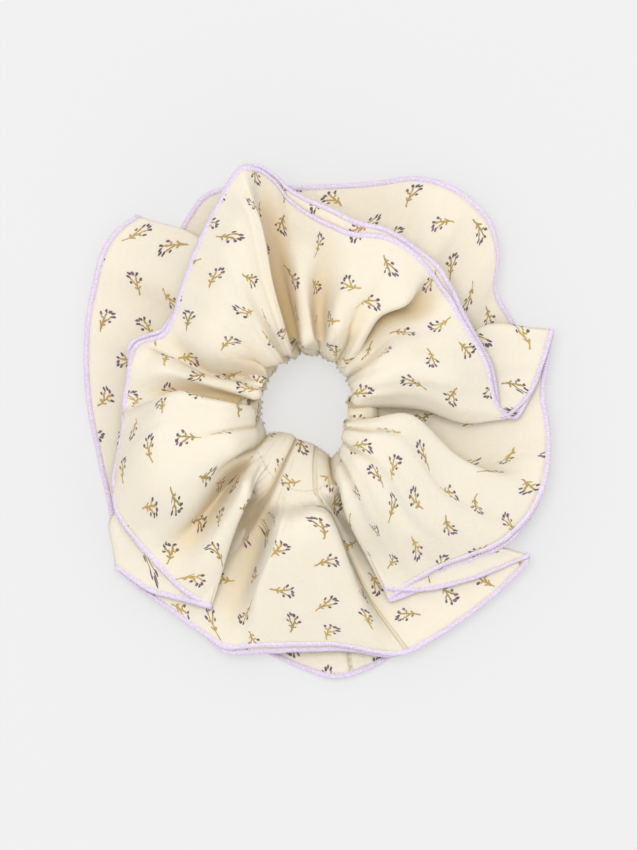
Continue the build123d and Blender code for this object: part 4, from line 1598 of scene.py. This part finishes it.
class SCRUNCHIE_OT_channel_stitches(bpy.types.Operator):
    """Sew the two rows that close the elastic's channel"""

    bl_idname = "scrunchie.channel_stitches"
    bl_label = "Channel stitches"

    def execute(self, context):
        settings = context.scene.scrunchie
        thread = sewing_thread(settings)
        stitch = new_object("channel_stitch",
                            thread_mesh("channel_stitch", CHANNEL_STITCH, SEWING_RADIUS))
        rows = (("top_channel_stitches", "top_seam"), ("low_channel_stitches", "low_seam"))
        for number, (node, seam) in enumerate(rows):
            points, facing = seam_line(OUTER_STRIP, ACROSS[seam])
            line = line_mesh(node, points + facing * CLOTH_THICK / 2, facing)
            piece = sew(node + "_thread", line, stitch, settings.thread.channel_pitch / MM,
                        SEWING_LEAN, settings.thread.seed + number, thread)
            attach(piece, "root")
            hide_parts(node)
        discard(stitch)
        return {"FINISHED"}


class SCRUNCHIE_OT_join_seams(bpy.types.Operator):
    """Sew the ends of each strip together, in a row of small stitches in the groove"""

    bl_idname = "scrunchie.join_seams"
    bl_label = "Join seams"

    def execute(self, context):
        settings = context.scene.scrunchie
        thread = sewing_thread(settings)
        stitch = new_object("join_stitch",
                            thread_mesh("join_stitch", JOIN_STITCH, SEWING_RADIUS))
        seams = (("outer_strip_join_stitches", OUTER_STRIP),
                 ("inner_strip_join_stitches", INNER_STRIP))
        for node, strip in seams:
            grid, normals = strip_lines(strip)
            line = line_mesh(node, grid[0] - normals[0] * CLOTH_THICK, normals[0], closed=False)
            piece = sew(node + "_thread", line, stitch, JOIN_PITCH, SEWING_LEAN,
                        settings.thread.seed, thread)
            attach(piece, "root")
            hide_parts(node)
        discard(stitch)
        return {"FINISHED"}


class SCRUNCHIE_OT_elastic(bpy.types.Operator):
    """Give the hidden elastic band and its join their own finish"""

    bl_idname = "scrunchie.elastic"
    bl_label = "Elastic"

    def execute(self, context):
        settings = context.scene.scrunchie
        finishes = {
            "elastic_band": material("ribbed_elastic", elastic_material, settings.cloth),
            "elastic_join_stitches": sewing_thread(settings),
        }
        for node, finish in finishes.items():
            piece = bpy.data.objects[node]
            piece.data.materials.clear()
            piece.data.materials.append(finish)
        return {"FINISHED"}


def area_lamp(name, place, target, size, power, colour):
    """A large soft lamp turned towards a target."""
    light = bpy.data.lights.new(name, "AREA")
    light.shape = "DISK"
    light.size = size
    light.energy = power
    light.color = colour
    lamp = bpy.data.objects.new(name, light)
    lamp.location = place
    lamp.rotation_euler = (Vector(target) - Vector(place)).to_track_quat("-Z", "Y").to_euler()
    bpy.context.scene.collection.objects.link(lamp)


class SCRUNCHIE_OT_stage(bpy.types.Operator):
    """Set the floor, the lamps and the camera"""

    bl_idname = "scrunchie.stage"
    bl_label = "Stage"

    def execute(self, context):
        settings = context.scene.scrunchie.stage
        mesh = bpy.data.meshes.new("floor")
        corners = np.array([(-1, -1, 0), (1, -1, 0), (1, 1, 0), (-1, 1, 0)]) * FLOOR_HALF
        fill_mesh(mesh, corners, [(0, 1, 2, 3)])
        floor = new_object("floor", mesh)
        floor.data.materials.append(material("pale_paper", floor_material, settings))
        area_lamp("key_lamp", KEY_PLACE, KEY_TARGET, KEY_SIZE, settings.key_power, KEY_COLOUR)
        world = bpy.data.worlds.new("soft_sky")
        world.use_nodes = True
        sky = world.node_tree.nodes["Background"]
        sky.inputs["Color"].default_value = (1.0, 1.0, 1.0, 1.0)
        sky.inputs["Strength"].default_value = settings.sky_strength
        context.scene.world = world
        view = bpy.data.cameras.new("camera")
        view.sensor_fit = "VERTICAL"
        view.sensor_height = SENSOR_HEIGHT
        view.lens = SENSOR_HEIGHT * settings.camera_height / settings.view_height
        view.clip_end = settings.camera_height * 4
        camera = bpy.data.objects.new("camera", view)
        camera.location = (0, 0, settings.camera_height + VIEW_PLANE)
        context.scene.collection.objects.link(camera)
        context.scene.camera = camera
        context.scene.view_settings.view_transform = "Standard"
        return {"FINISHED"}


class SCRUNCHIE_PT_panel(bpy.types.Panel):
    """Sidebar panel with every step and setting"""

    bl_idname = "SCRUNCHIE_PT_panel"
    bl_label = "Scrunchie"
    bl_space_type = "VIEW_3D"
    bl_region_type = "UI"
    bl_category = "Scrunchie"

    def draw(self, context):
        settings = context.scene.scrunchie
        for operator in OPERATORS:
            self.layout.operator(operator.bl_idname)
        for part in (settings.cloth, settings.thread, settings.stage):
            box = self.layout.box()
            for name in part.__annotations__:
                box.prop(part, name)


OPERATORS = (
    SCRUNCHIE_OT_outer_strip,
    SCRUNCHIE_OT_inner_strip,
    SCRUNCHIE_OT_overlock_edges,
    SCRUNCHIE_OT_channel_stitches,
    SCRUNCHIE_OT_join_seams,
    SCRUNCHIE_OT_elastic,
    SCRUNCHIE_OT_stage,
)
CLASSES = (
    ClothSettings,
    ThreadSettings,
    StageSettings,
    ScrunchieSettings,
    *OPERATORS,
    SCRUNCHIE_PT_panel,
)


def register():
    """Register every class and attach the settings to the scene."""
    for each in CLASSES:
        bpy.utils.register_class(each)
    bpy.types.Scene.scrunchie = PointerProperty(
        type=ScrunchieSettings, name="Scrunchie", description="Settings of the scrunchie")


def unregister():
    """Take the settings off the scene and unregister every class."""
    del bpy.types.Scene.scrunchie
    for each in reversed(CLASSES):
        bpy.utils.unregister_class(each)


def main():
    """Build every piece around the frame."""
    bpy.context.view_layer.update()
    register()
    bpy.ops.scrunchie.outer_strip()
    bpy.ops.scrunchie.inner_strip()
    bpy.ops.scrunchie.overlock_edges()
    bpy.ops.scrunchie.channel_stitches()
    bpy.ops.scrunchie.join_seams()
    bpy.ops.scrunchie.elastic()
    bpy.ops.scrunchie.stage()


if __name__ == "__main__":
    main()
